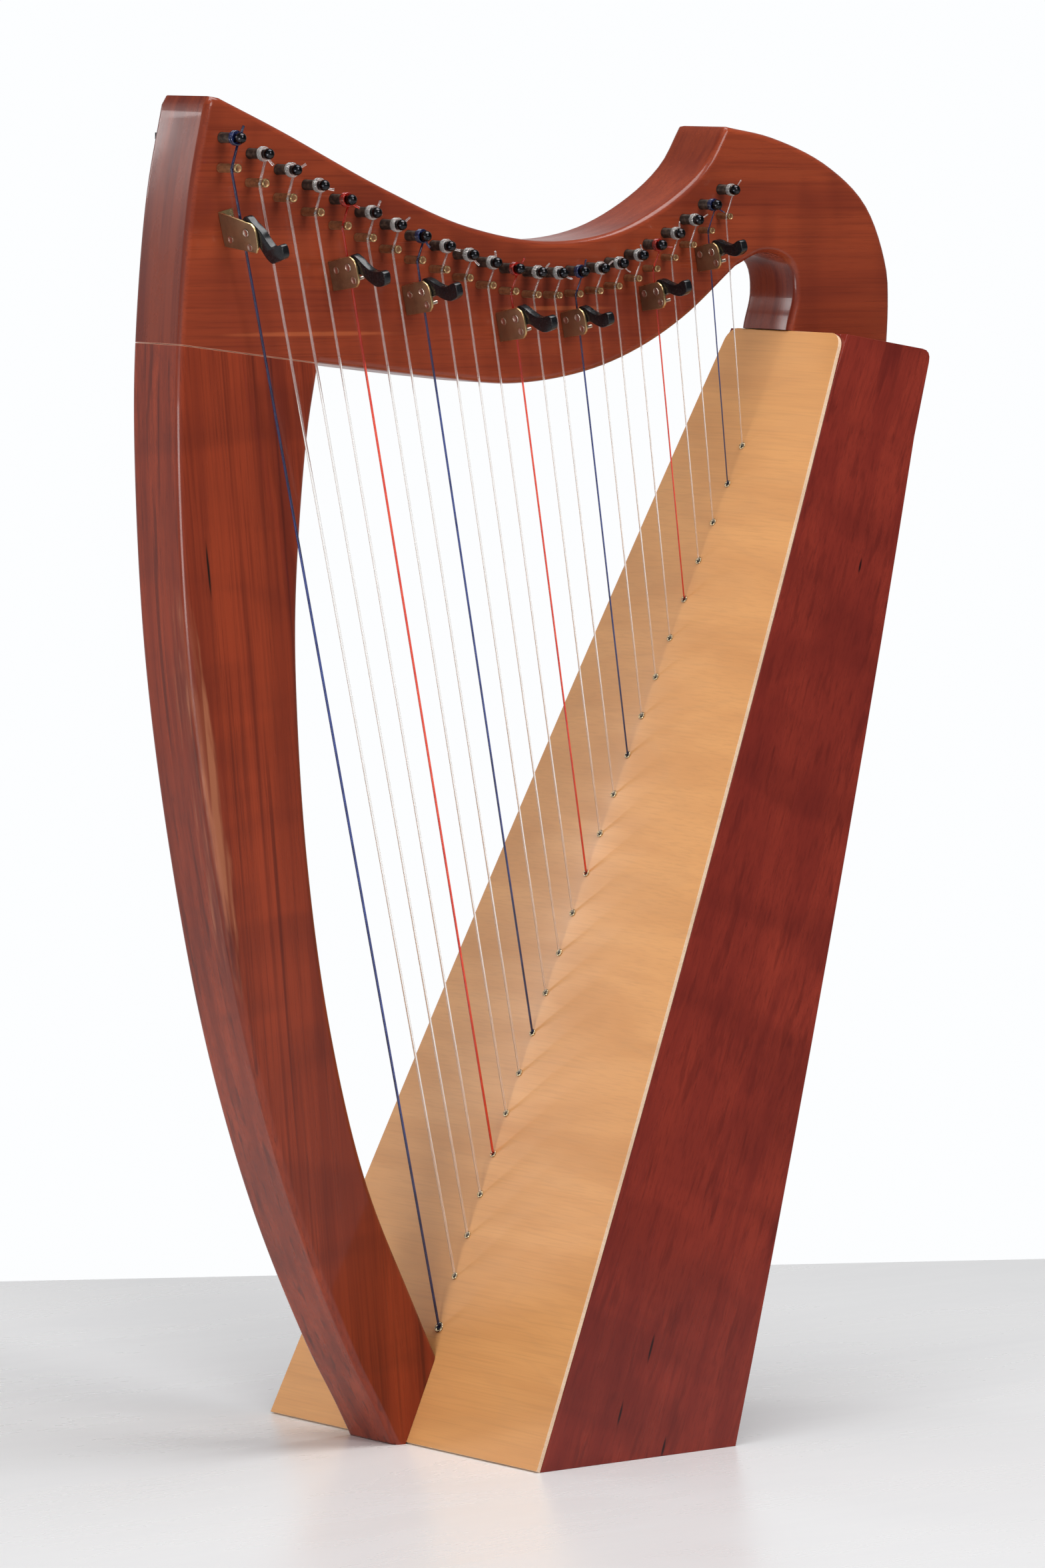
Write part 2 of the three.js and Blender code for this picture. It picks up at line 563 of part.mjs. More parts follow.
const SMALL_FROM = 15;           // from this string on the levers are smaller
const SMALL_SCALE = 0.86;
const BASS_LEVER = { plate: BASS_PLATE, handle: BASS_HANDLE, pivot: [24.9, 12.7], inner: [7.6, 17.4],
  outer: [25.8, 22] };

LEVERS.forEach(([number, below, tilt], i) => {
  const string = strings[number - 1];
  const small = number >= SMALL_FROM;
  const scale = small ? SMALL_SCALE : 1;
  const scaled = ([a, b]) => [a * scale, b * scale];
  const kind = i === 0 ? BASS_LEVER : {
    plate: PLATE.map(scaled), handle: HANDLE.map(scaled), pivot: scaled(PIVOT), outer: scaled(OUTER_STOP),
    inner: scaled(small ? SMALL_INNER_STOP : INNER_STOP),
  };
  // Lever frame: outward from the neck, down along the string, and along the pivot.
  const down = new THREE.Vector3(string.direction.x, 0, string.direction.z).normalize();
  const outward = new THREE.Vector3(0, -1, 0);
  const side = new THREE.Vector3().crossVectors(outward, down);
  const start = string.contact.clone().addScaledVector(down, below)
    .addScaledVector(side, -(PLATE_TO_STRING + PLATE_THICKNESS));
  start.y = FRAME_FACE - FIT_GAP;
  const frame = new THREE.Matrix4().makeBasis(outward, down, side).setPosition(start);
  const place = (geometry) => toSolid(geometry.applyMatrix4(frame));
  const sheet = (outline, from, thickness) => {
    const shape = shapeOf(outline);
    return new THREE.ExtrudeGeometry(shape, { depth: thickness, bevelEnabled: false, steps: 1 })
      .translate(0, 0, from);
  };
  const post = ([a, b], from, to, radius, sides) => rod(
    new THREE.Vector3(a, b, from), new THREE.Vector3(a, b, to), radius, sides);

  const height = kind.plate.at(-1)[1];
  const foot = sheet([[0, 0], [FOOT_THICKNESS, 0], [FOOT_THICKNESS, height], [0, height]],
    0, PLATE_THICKNESS + FOOT_WIDTH);
  let bracket = place(sheet(kind.plate, 0, PLATE_THICKNESS)).add(place(foot));
  bracket = bracket.subtract(place(post(kind.pivot, -PLATE_THICKNESS, 2 * PLATE_THICKNESS,
    PIVOT_RADIUS + PIN_CLEARANCE, PIN_SIDES)));
  const postEnd = PLATE_THICKNESS + LEVER_HANDLE_WIDTH + STOP_BEYOND;
  for (const spot of [kind.inner, kind.outer]) {
    bracket = bracket.add(place(post(spot, -STOP_RIVET, postEnd, STOP_RADIUS, BRIDGE_SIDES)));
  }
  const label = String(number).padStart(2, '0');
  addPiece(`lever_plate_${label}`, bracket, brass);

  const angle = radians(tilt);
  const turned = kind.handle.map(([a, b]) => [
    kind.pivot[0] + a * Math.cos(angle) + b * Math.sin(angle),
    kind.pivot[1] + a * Math.sin(angle) - b * Math.cos(angle)]);
  const handleStart = PLATE_THICKNESS + FIT_GAP;
  const handle = place(sheet(turned, handleStart, LEVER_HANDLE_WIDTH))
    .add(place(post(kind.pivot, -FIT_GAP - HEAD_HEIGHT, handleStart + HEAD_HEIGHT, PIVOT_RADIUS, PIN_SIDES)))
    .add(place(post(kind.pivot, -FIT_GAP - HEAD_HEIGHT, -FIT_GAP, PIVOT_HEAD, PIN_SIDES)));
  addPiece(`lever_handle_${label}`, handle, blackPlastic);
});

// Stand the harp on the floor with its middle on the Z axis.
const bounds = new THREE.Box3().setFromObject(part);
const middle = bounds.getCenter(new THREE.Vector3());
for (const mesh of part.children) mesh.geometry.translate(-middle.x, -middle.y, -bounds.min.z);

export default part;
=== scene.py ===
# Looks of a lever harp with 23 strings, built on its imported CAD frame.
# Shapes are drawn in millimetres from the soundboard's lower front edge, as in the CAD part,
# and TO_FRAME takes them to the frame's metres.
import json
import math

import bmesh
import bpy
from mathutils import Matrix, Vector


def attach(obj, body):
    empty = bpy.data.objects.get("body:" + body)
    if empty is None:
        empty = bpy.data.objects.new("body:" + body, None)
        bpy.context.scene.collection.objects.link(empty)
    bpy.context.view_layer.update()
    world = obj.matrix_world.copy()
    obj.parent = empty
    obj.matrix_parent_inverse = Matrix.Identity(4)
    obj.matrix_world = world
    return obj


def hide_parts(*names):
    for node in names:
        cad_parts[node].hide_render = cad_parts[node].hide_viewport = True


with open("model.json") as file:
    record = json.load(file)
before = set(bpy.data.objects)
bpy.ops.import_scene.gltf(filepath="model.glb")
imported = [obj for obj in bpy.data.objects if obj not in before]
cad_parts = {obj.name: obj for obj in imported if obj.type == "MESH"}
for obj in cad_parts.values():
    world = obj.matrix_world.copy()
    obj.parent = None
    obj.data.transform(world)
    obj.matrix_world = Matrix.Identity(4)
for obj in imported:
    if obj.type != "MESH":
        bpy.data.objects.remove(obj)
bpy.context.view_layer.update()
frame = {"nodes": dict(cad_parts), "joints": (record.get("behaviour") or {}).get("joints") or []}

# ---------- sizes ----------
FOOT = -0.104684  # row x of the soundboard's lower front edge, metres
TO_FRAME = Matrix.Translation((FOOT, 0, 0)) @ Matrix.Scale(0.001, 4)

BOARD_LEAN = math.radians(66.3)
BOARD_LENGTH = 776
BOARD_THICKNESS = 3
BOARD_HALF_BOTTOM = 137.7
BOARD_HALF_TOP = 55.9
SIDE_BULGE = 6.5
BOARD_CORNER = 9
BOARD_LIFT = 1.2
BELLY, BELLY_CENTRE, BELLY_REACH, BELLY_SHAPE = 8.5, 400, 334, 1.4
BOX_REAR_TOP = (391.3, 698.6)
GAP = 0.3

FRAME_FACE = -6
FRAME_THICKNESS = 50
EDGE_ROUND = 4.5

STRINGS = 23
FIRST_STRING, SECOND_STRING, STRING_SPACING = 78.5, 113.2, 27.6
PIN_RADIUS = 3.3
PIN_TAIL = 5
KEY_LENGTH, KEY_SQUARE = 12, 4.2
COIL_INNER, COIL_OUTER = 0.52, 0.7  # where the string winds, as shares of the pin's outer length
HOLE_PLACE = 0.8
TUNING_RISE_MID, TUNING_RISE_END, TUNING_SHIFT = 14.3, 18, 1.2
BRIDGE_BITE = 0.2
# Angle at which the cut end of each string leaves its tuning pin, degrees from +X towards +Z.
TAIL_TURN = [70, -75, 20, -30, -50, 65, 30, -80, -30, -70, 100, 60, 40, -40, 80, 30, -60, 110, -20,
             95, 20, -50, 50]

# Levers: number of the string, distance of the plate below the bridge pin, tilt of the handle in degrees.
LEVERS = ((1, 27, 0), (5, 22.3, 7), (8, 16.1, -9), (12, 13.4, -2), (15, 11.7, -5.5), (19, 11, -14),
          (22, 10.3, -15))
PLATE_THICKNESS = 1.6
PLATE_TO_STRING = 3.4
HANDLE_WIDTH = 5
FLANGE_WIDTH, FLANGE_THICKNESS = 9, 1.5

V = Vector


def mix(a, b, t):
    return a + (b - a) * t


# ---------- camera ----------
CAMERA_PLACE = (-3.30124, -4.0159, 0.88477)
CAMERA_YAW, CAMERA_PITCH, CAMERA_ROLL = (math.radians(a) for a in (39.33, 5.11, 0.81))
LENS = 185.57

forward = V((math.sin(CAMERA_YAW) * math.cos(CAMERA_PITCH),
             math.cos(CAMERA_YAW) * math.cos(CAMERA_PITCH), -math.sin(CAMERA_PITCH)))
level = V((math.cos(CAMERA_YAW), -math.sin(CAMERA_YAW), 0))
upright = level.cross(forward)
right = level * math.cos(CAMERA_ROLL) + upright * math.sin(CAMERA_ROLL)
camera_up = upright * math.cos(CAMERA_ROLL) - level * math.sin(CAMERA_ROLL)
camera = bpy.data.objects.new("camera", bpy.data.cameras.new("camera"))
camera.data.lens = LENS
camera.data.sensor_width = 36
camera.data.clip_end = 50
camera.matrix_world = Matrix((right, camera_up, -forward)).transposed().to_4x4()
camera.location = CAMERA_PLACE
bpy.context.scene.collection.objects.link(camera)
bpy.context.scene.camera = camera


# ---------- materials ----------
class Look:
    """One procedural material, built node by node in the frame's metres."""

    def __init__(self, name, **values):
        self.material = bpy.data.materials.new(name)
        self.material.use_nodes = True
        self.tree = self.material.node_tree
        self.shader = self.tree.nodes["Principled BSDF"]
        for key, value in values.items():
            self.feed(key.replace("_", " "), value)
        self.place = self.add("ShaderNodeTexCoord").outputs["Object"]

    def feed(self, name, value):
        socket = self.shader.inputs[name]
        if isinstance(value, bpy.types.NodeSocket):
            self.tree.links.new(value, socket)
        else:
            socket.default_value = value

    def add(self, kind, inputs=(), **settings):
        node = self.tree.nodes.new(kind)
        for key, value in settings.items():
            setattr(node, key, value)
        for key, value in dict(inputs).items():
            if isinstance(value, bpy.types.NodeSocket):
                self.tree.links.new(value, node.inputs[key])
            else:
                node.inputs[key].default_value = value
        return node

    def turned(self, angles, shift=(0, 0, 0)):
        return self.add("ShaderNodeMapping", {0: self.place, 1: shift, 2: angles}).outputs[0]

    def stretched(self, place, scale, shift=(0, 0, 0)):
        return self.add("ShaderNodeMapping", {0: place, 1: shift, 3: scale}).outputs[0]

    def noise(self, place, scale=1.0, detail=2.0, rough=0.5, bend=0.0):
        return self.add("ShaderNodeTexNoise", {
            "Vector": place, "Scale": scale, "Detail": detail, "Roughness": rough, "Distortion": bend,
        }).outputs[0]

    def math(self, kind, a, b=0.0):
        return self.add("ShaderNodeMath", {0: a, 1: b}, operation=kind).outputs[0]

    def spread(self, value, low, high, to_low=0.0, to_high=1.0):
        return self.add("ShaderNodeMapRange", {
            "Value": value, "From Min": low, "From Max": high, "To Min": to_low, "To Max": to_high,
        }, interpolation_type="SMOOTHSTEP").outputs[0]

    def blend(self, share, a, b, kind="MIX"):
        node = self.add("ShaderNodeMix", {0: share}, data_type="RGBA", blend_type=kind)
        for index, value in ((6, a), (7, b)):
            if isinstance(value, bpy.types.NodeSocket):
                self.tree.links.new(value, node.inputs[index])
            else:
                node.inputs[index].default_value = (*value, 1)
        return node.outputs[2]

    def paint(self, colour):
        self.base = colour
        self.feed("Base Color", colour)

    def bump(self, height, depth, strength=0.5):
        self.feed("Normal", self.add("ShaderNodeBump", {
            "Strength": strength, "Distance": depth, "Height": height}).outputs[0])

    def spot(self, centre, turn, size, ragged=0.0):
        """1 inside a long soft-edged patch, 0 outside: its centre and half sizes are in metres."""
        move = self.add("ShaderNodeVectorMath", {0: self.place, 1: centre}, operation="SUBTRACT").outputs[0]
        along = self.add("ShaderNodeVectorRotate",
                         {"Vector": move, "Angle": turn, "Axis": (0, 1, 0)}).outputs[0]
        shaped = self.add("ShaderNodeVectorMath", {0: along, 1: size}, operation="DIVIDE").outputs[0]
        far = self.add("ShaderNodeVectorMath", {0: shaped}, operation="LENGTH").outputs[1]
        if ragged:
            edge = self.noise(self.stretched(along, (25, 300, 300)), detail=3)
            far = self.math("ADD", far, self.math("MULTIPLY", self.math("SUBTRACT", edge, 0.5), ragged))
        return self.spread(far, 1.0, 0.35, 0.0, 1.0)

    def seam(self, point, turn, half):
        """1 on a plane through a point, square to the X-Z plane and turned; 0 beyond half a width."""
        move = self.add("ShaderNodeVectorMath", {0: self.place, 1: point}, operation="SUBTRACT").outputs[0]
        along = self.add("ShaderNodeVectorRotate",
                         {"Vector": move, "Angle": turn, "Axis": (0, 1, 0)}).outputs[0]
        off = self.math("ABSOLUTE", self.add("ShaderNodeSeparateXYZ", {0: along}).outputs[2])
        return self.spread(off, half, half * 0.5, 0.0, 1.0)


def wood(name, turn, dark, light, streak, line_share=0.5, figure_share=0.25, gloss=0.27):
    """Varnished wood whose grain runs along the turned X direction."""
    look = Look(name, IOR=1.45, Specular_IOR_Level=0.22, Coat_Weight=0.3, Coat_Roughness=0.06)
    grain = look.turned(turn)
    bands = look.noise(look.stretched(grain, (1.5, 70, 40)), detail=4, rough=0.62, bend=0.25)
    lines = look.noise(look.stretched(grain, (1.8, 230, 150)), detail=2, rough=0.5, bend=0.2)
    fibre = look.noise(look.stretched(grain, (9, 620, 620)), detail=3, rough=0.6)
    pores = look.noise(look.stretched(grain, (30, 1500, 1500)), detail=2)
    figure = look.noise(look.stretched(grain, (24, 8, 8)), detail=2, rough=0.4, bend=0.5)
    cloud = look.noise(look.stretched(grain, (2.6, 9, 9)), detail=2, rough=0.5)
    base = look.blend(look.spread(bands, 0.3, 0.7), light, dark)
    base = look.blend(look.spread(cloud, 0.35, 0.68, 0.0, 0.5), base, dark)
    base = look.blend(look.spread(figure, 0.42, 0.7, 0.0, figure_share), base, streak)
    base = look.blend(look.spread(lines, 0.56, 0.7, 0.0, line_share), base, streak)
    base = look.blend(look.spread(fibre, 0.45, 0.75, 0.0, 0.4), base, streak)
    base = look.blend(look.spread(pores, 0.6, 0.72, 0.0, 0.4), base, streak)
    look.grain, look.fibre = grain, fibre
    look.paint(base)
    look.feed("Roughness", look.spread(bands, 0.2, 0.8, gloss - 0.04, gloss + 0.07))
    look.bump(look.math("ADD", look.math("MULTIPLY", fibre, 0.6), pores), 0.00006, 0.35)
    return look


def place_of(x, y, z):
    """Frame position, in metres, of a point of the drawing."""
    return (x * 0.001 + FOOT, y * 0.001, z * 0.001)


ALONG_BOARD = (0, BOARD_LEAN, 0)
neck_wood = wood("neck_wood", (0, 0, 0), (0.218, 0.034, 0.0135), (0.305, 0.053, 0.019), (0.1, 0.014, 0.008),
                 line_share=0.16, figure_share=0.34)
pillar_wood = wood("pillar_wood", (0, math.radians(96.5), 0), (0.165, 0.022, 0.009), (0.3, 0.045, 0.016),
                   (0.062, 0.009, 0.006), line_share=0.6)
side_wood = wood("side_wood", ALONG_BOARD, (0.19, 0.02, 0.013), (0.3, 0.038, 0.021), (0.09, 0.009, 0.007),
                 line_share=0.4, figure_share=0.35)
lining_wood = wood("lining_wood", ALONG_BOARD, (0.42, 0.27, 0.14), (0.55, 0.37, 0.2), (0.35, 0.2, 0.1),
                   line_share=0.2, gloss=0.5)

# A tapering streak of pale sapwood with its own brown lines, and a pitch streak above it.
sap = pillar_wood.spot(place_of(-161, -6, 430), math.radians(100.5), (0.14, 0.03, 0.0075), 1.3)
sap_lines = pillar_wood.noise(pillar_wood.stretched(pillar_wood.grain, (3, 420, 200)), detail=2)
pillar_wood.paint(pillar_wood.blend(sap, pillar_wood.base, pillar_wood.blend(
    pillar_wood.spread(sap_lines, 0.42, 0.62), (0.34, 0.112, 0.055), (0.22, 0.05, 0.024))))
pitch = pillar_wood.spot(place_of(-166, -6, 566), math.radians(98), (0.022, 0.01, 0.0012), 0.7)
pillar_wood.paint(pillar_wood.blend(pitch, pillar_wood.base, (0.012, 0.006, 0.004)))

# Small gum pockets near the foot of the soundbox.
for x, y, z, length in ((100, -130, 69, 12), (72, -133, 30, 11), (108, -134, 5, 9), (316, -74, 559, 7)):
    pocket = side_wood.spot(place_of(x, y, z), BOARD_LEAN + 0.05, (length * 0.001, 0.02, 0.0013), 0.8)
    side_wood.paint(side_wood.blend(pocket, side_wood.base, (0.022, 0.004, 0.004)))

# The inside of the arch gets painted shade, a darker colour and weaker reflection, and the top of the scoop
# is a lighter orange.
# Painted shade: this patch darkens the arch's inside and dims its gloss, standing in for the shadow that
# falls there.
arch_shade = neck_wood.spot(place_of(315, 24, 705), 0, (0.03, 0.029, 0.09))
neck_wood.paint(neck_wood.blend(arch_shade, neck_wood.base, (0.024, 0.006, 0.008)))
neck_wood.feed("Specular IOR Level", neck_wood.spread(arch_shade, 0.0, 1.0, 0.22, 0.05))
neck_wood.feed("Coat Weight", neck_wood.spread(arch_shade, 0.0, 1.0, 0.3, 0.02))
normal = neck_wood.add("ShaderNodeTexCoord").outputs["Normal"]
facing_out = neck_wood.add("ShaderNodeSeparateXYZ", {0: normal})
end_grain = neck_wood.noise(neck_wood.stretched(neck_wood.place, (40, 130, 1.8)), detail=4, rough=0.6)
neck_wood.paint(neck_wood.blend(
    neck_wood.spread(facing_out.outputs[0], -0.55, -0.9, 0.0, 0.85), neck_wood.base,
    neck_wood.blend(neck_wood.spread(end_grain, 0.35, 0.65), (0.2, 0.032, 0.012), (0.11, 0.014, 0.007))))
for x, z, length in ((-84, 712.5, 0.09), (110, 727, 0.06)):
    band = neck_wood.spot(place_of(x, -6, z), 0, (length, 0.02, 0.002), 0.5)
    neck_wood.paint(neck_wood.blend(
        neck_wood.math("MULTIPLY", band, 0.45), neck_wood.base, (0.55, 0.14, 0.05)))

# The glued seam between neck and pillar shows as a thin pale line.
for look in (neck_wood, pillar_wood):
    seam = look.seam(place_of(-134.5, 19, 700.3), math.radians(-6.68), 0.0006)
    look.paint(look.blend(look.math("MULTIPLY", seam, 0.7), look.base, (0.62, 0.3, 0.2)))


def birch(name, light, dark):
    """Rotary-cut birch veneer with its grain across the soundboard."""
    look = Look(name, IOR=1.48, Specular_IOR_Level=0.35, Coat_Weight=0.12, Coat_Roughness=0.2)
    grain = look.turned((0, BOARD_LEAN, math.radians(90)))
    fibre = look.noise(look.stretched(grain, (14, 760, 760)), detail=3, rough=0.62)
    cloud = look.noise(look.stretched(grain, (5, 26, 26)), detail=3, rough=0.5, bend=0.8)
    waves = look.noise(look.stretched(grain, (3.2, 16, 16)), detail=2, rough=0.4, bend=0.5)
    waves = look.spread(look.math("SINE", look.math("MULTIPLY", waves, 60.0)), 0.55, 1.0)
    base = look.blend(look.spread(cloud, 0.3, 0.72), light, dark)
    base = look.blend(look.spread(fibre, 0.42, 0.74, 0.0, 0.3), base, (0.46, 0.22, 0.08))
    base = look.blend(look.math("MULTIPLY", waves, 0.1), base, (0.5, 0.26, 0.11))
    look.feed("Base Color", base)
    look.feed("Roughness", look.spread(cloud, 0.2, 0.8, 0.33, 0.42))
    look.bump(fibre, 0.00005, 0.3)
    return look


board_face = birch("board_face", (0.68, 0.33, 0.118), (0.585, 0.268, 0.092))
ply_edge = birch("ply_edge", (0.86, 0.64, 0.45), (0.76, 0.53, 0.36))


def metal(name, colour, worn, rough, scale, depth=0.00002, metallic=1.0):
    look = Look(name, Metallic=metallic)
    patch = look.noise(look.place, scale, 4.0, 0.6)
    fine = look.noise(look.place, scale * 7, 2.0)
    base = look.blend(look.spread(patch, 0.42, 0.66), colour, worn)
    look.feed("Base Color", base)
    look.feed("Roughness", look.spread(patch, 0.3, 0.7, rough - 0.08, rough + 0.1))
    look.bump(fine, depth, 0.4)
    return look


blued = metal("blued_ball", (0.022, 0.023, 0.027), (0.045, 0.042, 0.044), 0.16, 260)
blued_thread = metal("blued_thread", (0.035, 0.027, 0.023), (0.1, 0.068, 0.05), 0.4, 340, metallic=0.6)
brass_pin = metal("brass_pin", (0.33, 0.155, 0.07), (0.22, 0.1, 0.046), 0.38, 420, metallic=0.6)
brass_plate = metal("brass_plate", (0.26, 0.145, 0.08), (0.19, 0.102, 0.055), 0.4, 60, metallic=0.7)
brass_edge = metal("brass_edge", (0.56, 0.4, 0.2), (0.42, 0.29, 0.14), 0.3, 150)
rivet_metal = metal("rivet_metal", (0.58, 0.47, 0.4), (0.42, 0.33, 0.27), 0.34, 300)
eyelet_metal = metal("eyelet_metal", (0.55, 0.44, 0.27), (0.3, 0.24, 0.17), 0.26, 600)


def cord_look(name, colour, deep, clear, rough):
    look = Look(name, IOR=1.53, Transmission_Weight=clear, Roughness=rough)
    patch = look.noise(look.place, 90.0, 3.0)
    look.feed("Base Color", look.blend(look.spread(patch, 0.35, 0.7), colour, deep))
    look.bump(look.noise(look.place, 1400.0, 2.0), 0.00001, 0.2)
    return look


clear_nylon = cord_look("clear_nylon", (0.97, 0.95, 0.93), (0.93, 0.9, 0.87), 0.9, 0.08)
red_nylon = cord_look("red_nylon", (0.93, 0.1, 0.05), (0.8, 0.05, 0.03), 0.93, 0.14)
blue_nylon = cord_look("blue_nylon", (0.055, 0.085, 0.3), (0.03, 0.045, 0.17), 0.88, 0.2)

black_plastic = Look("black_plastic", IOR=1.5, Specular_IOR_Level=0.3, Coat_Weight=0.12, Coat_Roughness=0.1)
scuff = black_plastic.noise(black_plastic.place, 340.0, 4.0, 0.65)
black_plastic.feed("Base Color", black_plastic.blend(
    black_plastic.spread(scuff, 0.55, 0.8), (0.005, 0.0055, 0.007), (0.012, 0.012, 0.014)))
black_plastic.feed("Roughness", black_plastic.spread(scuff, 0.3, 0.8, 0.2, 0.34))
black_plastic.bump(scuff, 0.00002, 0.3)

# Painted shade: a near-black matte look for the discs that stand in for the shade inside the eyelet holes.
painted_hole_shade = Look("painted_hole_shade", Roughness=0.8)
painted_hole_shade.feed("Base Color", painted_hole_shade.blend(
    painted_hole_shade.noise(painted_hole_shade.place, 800.0), (0.006, 0.005, 0.004), (0.014, 0.01, 0.007)))


# ---------- shapes ----------
def even_steps(line, spacing):
    """Points at even steps along a line, its two ends kept."""
    lengths = [0.0]
    for a, b in zip(line, line[1:]):
        lengths.append(lengths[-1] + (b - a).length)
    count = max(2, round(lengths[-1] / spacing))
    points, k = [], 0
    for i in range(count):
        want = lengths[-1] * i / count
        while lengths[k + 1] < want:
            k += 1
        share = (want - lengths[k]) / (lengths[k + 1] - lengths[k])
        points.append(line[k].lerp(line[k + 1], share))
    return points + [line[-1]]


def curve(keys, closed=False):
    """Fine points on a smooth curve (centripetal Catmull-Rom) through a few keys."""
    keys = [V(k) for k in keys]
    if closed:
        keys = [keys[-1]] + keys + keys[:2]
    else:
        keys = [2 * keys[0] - keys[1]] + keys + [2 * keys[-1] - keys[-2]]
    fine = []
    for a, b, c, d in zip(keys, keys[1:], keys[2:], keys[3:]):
        t0, t1, t2 = ((q - p).length ** 0.5 for p, q in ((a, b), (b, c), (c, d)))
        go_in = ((b - a) / t0 - (c - a) / (t0 + t1) + (c - b) / t1) * t1
        go_out = ((c - b) / t1 - (d - b) / (t1 + t2) + (d - c) / t2) * t1
        for k in range(24):
            u = k / 24
            fine.append(b + go_in * u + (3 * (c - b) - 2 * go_in - go_out) * u ** 2
                        + (2 * (b - c) + go_in + go_out) * u ** 3)
    return fine if closed else fine + [keys[-2]]


def smooth(keys, spacing, closed=False):
    line = curve(keys, closed)
    return even_steps(line + line[:1], spacing)[:-1] if closed else even_steps(line, spacing)


def inset(outline, by):
    """A closed outline (counter-clockwise) moved inward by a distance."""
    moved = []
    for before, here, after in zip(outline[-1:] + outline[:-1], outline, outline[1:] + outline[:1]):
        a, b = (here - before).normalized(), (after - here).normalized()
        normal_a, normal_b = V((-a.y, a.x)), V((-b.y, b.x))
        moved.append(here + (normal_a + normal_b) * (by / (1 + normal_a.dot(normal_b))))
    return moved


def counter_clockwise(outline):
    area = sum(a.x * b.y - b.x * a.y for a, b in zip(outline, outline[1:] + outline[:1]))
    return outline if area > 0 else outline[::-1]


def prism(bm, outline, low, high, rounding, matrix, steps=5, edge_slot=0):
    """Solid with that outline from one level to another, its edges rounded."""
    outline = counter_clockwise([V(p) for p in outline])
    levels = []
    for k in range(steps + 1 if rounding else 1):
        angle = math.pi / 2 * k / steps
        levels.append((rounding * (1 - math.sin(angle)), low + rounding * (1 - math.cos(angle))))
    levels += [(by, low + high - at) for by, at in reversed(levels)]
    rings = [[bm.verts.new(matrix @ V((p.x, p.y, at))) for p in inset(outline, by)] for by, at in levels]
    count = len(outline)
    for i, (lower, upper) in enumerate(zip(rings, rings[1:])):
        for j in range(count):
            face = bm.faces.new((lower[j], lower[(j + 1) % count], upper[(j + 1) % count], upper[j]))
            face.material_index = edge_slot if i != steps else face.material_index
            if not rounding or i == len(levels) // 2 - 1:
                face.material_index = edge_slot
    bm.faces.new(rings[0][::-1])
    bm.faces.new(rings[-1])


def tube(bm, points, radius, sides=10):
    """Round cord through points, its ends closed."""
    points = [V(p) for p in points]
    radii = radius if isinstance(radius, list) else [radius] * len(points)
    across = None
    rings = []
    for i, (point, size) in enumerate(zip(points, radii)):
        along = (points[min(i + 1, len(points) - 1)] - points[max(i - 1, 0)]).normalized()
        if across is None:
            across = along.orthogonal().normalized()
        across = (across - along * across.dot(along)).normalized()
        other = along.cross(across)
        rings.append([bm.verts.new(point + (across * math.cos(a) + other * math.sin(a)) * size)
                      for a in (2 * math.pi * k / sides for k in range(sides))])
    for lower, upper in zip(rings, rings[1:]):
        for j in range(sides):
            bm.faces.new((lower[j], lower[(j + 1) % sides], upper[(j + 1) % sides], upper[j]))
    bm.faces.new(rings[0][::-1])
    bm.faces.new(rings[-1])


def lathe(bm, profile, origin, axis, sides=24, slots=None):
    """Turned solid: profile holds (place along the axis, radius) pairs from one end to the other."""
    origin, axis = V(origin), V(axis).normalized()
    across = axis.orthogonal().normalized()
    other = axis.cross(across)
    rings = []
    for at, size in profile:
        centre = origin + axis * at
        if size == 0:
            rings.append([bm.verts.new(centre)])
        else:
            rings.append([bm.verts.new(centre + (across * math.cos(a) + other * math.sin(a)) * size)
                          for a in (2 * math.pi * k / sides for k in range(sides))])
    for i, (lower, upper) in enumerate(zip(rings, rings[1:])):
        for j in range(sides):
            k = (j + 1) % sides
            corners = [lower[j % len(lower)], lower[k % len(lower)],
                       upper[k % len(upper)], upper[j % len(upper)]]
            face = bm.faces.new(list(dict.fromkeys(corners)))
            face.material_index = slots[i] if slots else 0
    for ring in (rings[0][::-1], rings[-1]):
        if len(ring) > 1:
            bm.faces.new(ring)


def make(name, bm, looks, body="frame", stands_for=(), angle=38, weigh=False):
    """Turns a drawn mesh into a piece that rides on a body."""
    bmesh.ops.recalc_face_normals(bm, faces=bm.faces)
    mesh = bpy.data.meshes.new(name)
    bm.to_mesh(mesh)
    bm.free()
    mesh.transform(TO_FRAME)
    for look in looks:
        mesh.materials.append(look.material)
    mesh.shade_smooth()
    mesh.set_sharp_from_angle(angle=math.radians(angle))
    piece = bpy.data.objects.new(name, mesh)
    bpy.context.scene.collection.objects.link(piece)
    if weigh:
        piece.modifiers.new("weighted", "WEIGHTED_NORMAL").keep_sharp = True
    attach(piece, body)
    if stands_for:
        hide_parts(*stands_for)
    return piece


def carve(piece, draw, keep=False):
    """Cuts away what the drawn solid covers, or keeps only that."""
    bm = bmesh.new()
    draw(bm)
    bmesh.ops.recalc_face_normals(bm, faces=bm.faces)
    mesh = bpy.data.meshes.new("cutter")
    bm.to_mesh(mesh)
    bm.free()
    mesh.transform(TO_FRAME)
    cutter = bpy.data.objects.new("cutter", mesh)
    bpy.context.scene.collection.objects.link(cutter)
    cut = piece.modifiers.new("cut", "BOOLEAN")
    cut.object, cut.solver, cut.operation = cutter, "EXACT", "INTERSECT" if keep else "DIFFERENCE"
    shape = bpy.data.meshes.new_from_object(piece.evaluated_get(bpy.context.evaluated_depsgraph_get()))
    shape.name = piece.name
    piece.modifiers.remove(cut)
    piece.data = shape
    bpy.data.objects.remove(cutter)


FRONT_VIEW = Matrix(((1, 0, 0, 0), (0, 0, 1, 0), (0, 1, 0, 0), (0, 0, 0, 1)))  # outline in X-Z, levels in Y

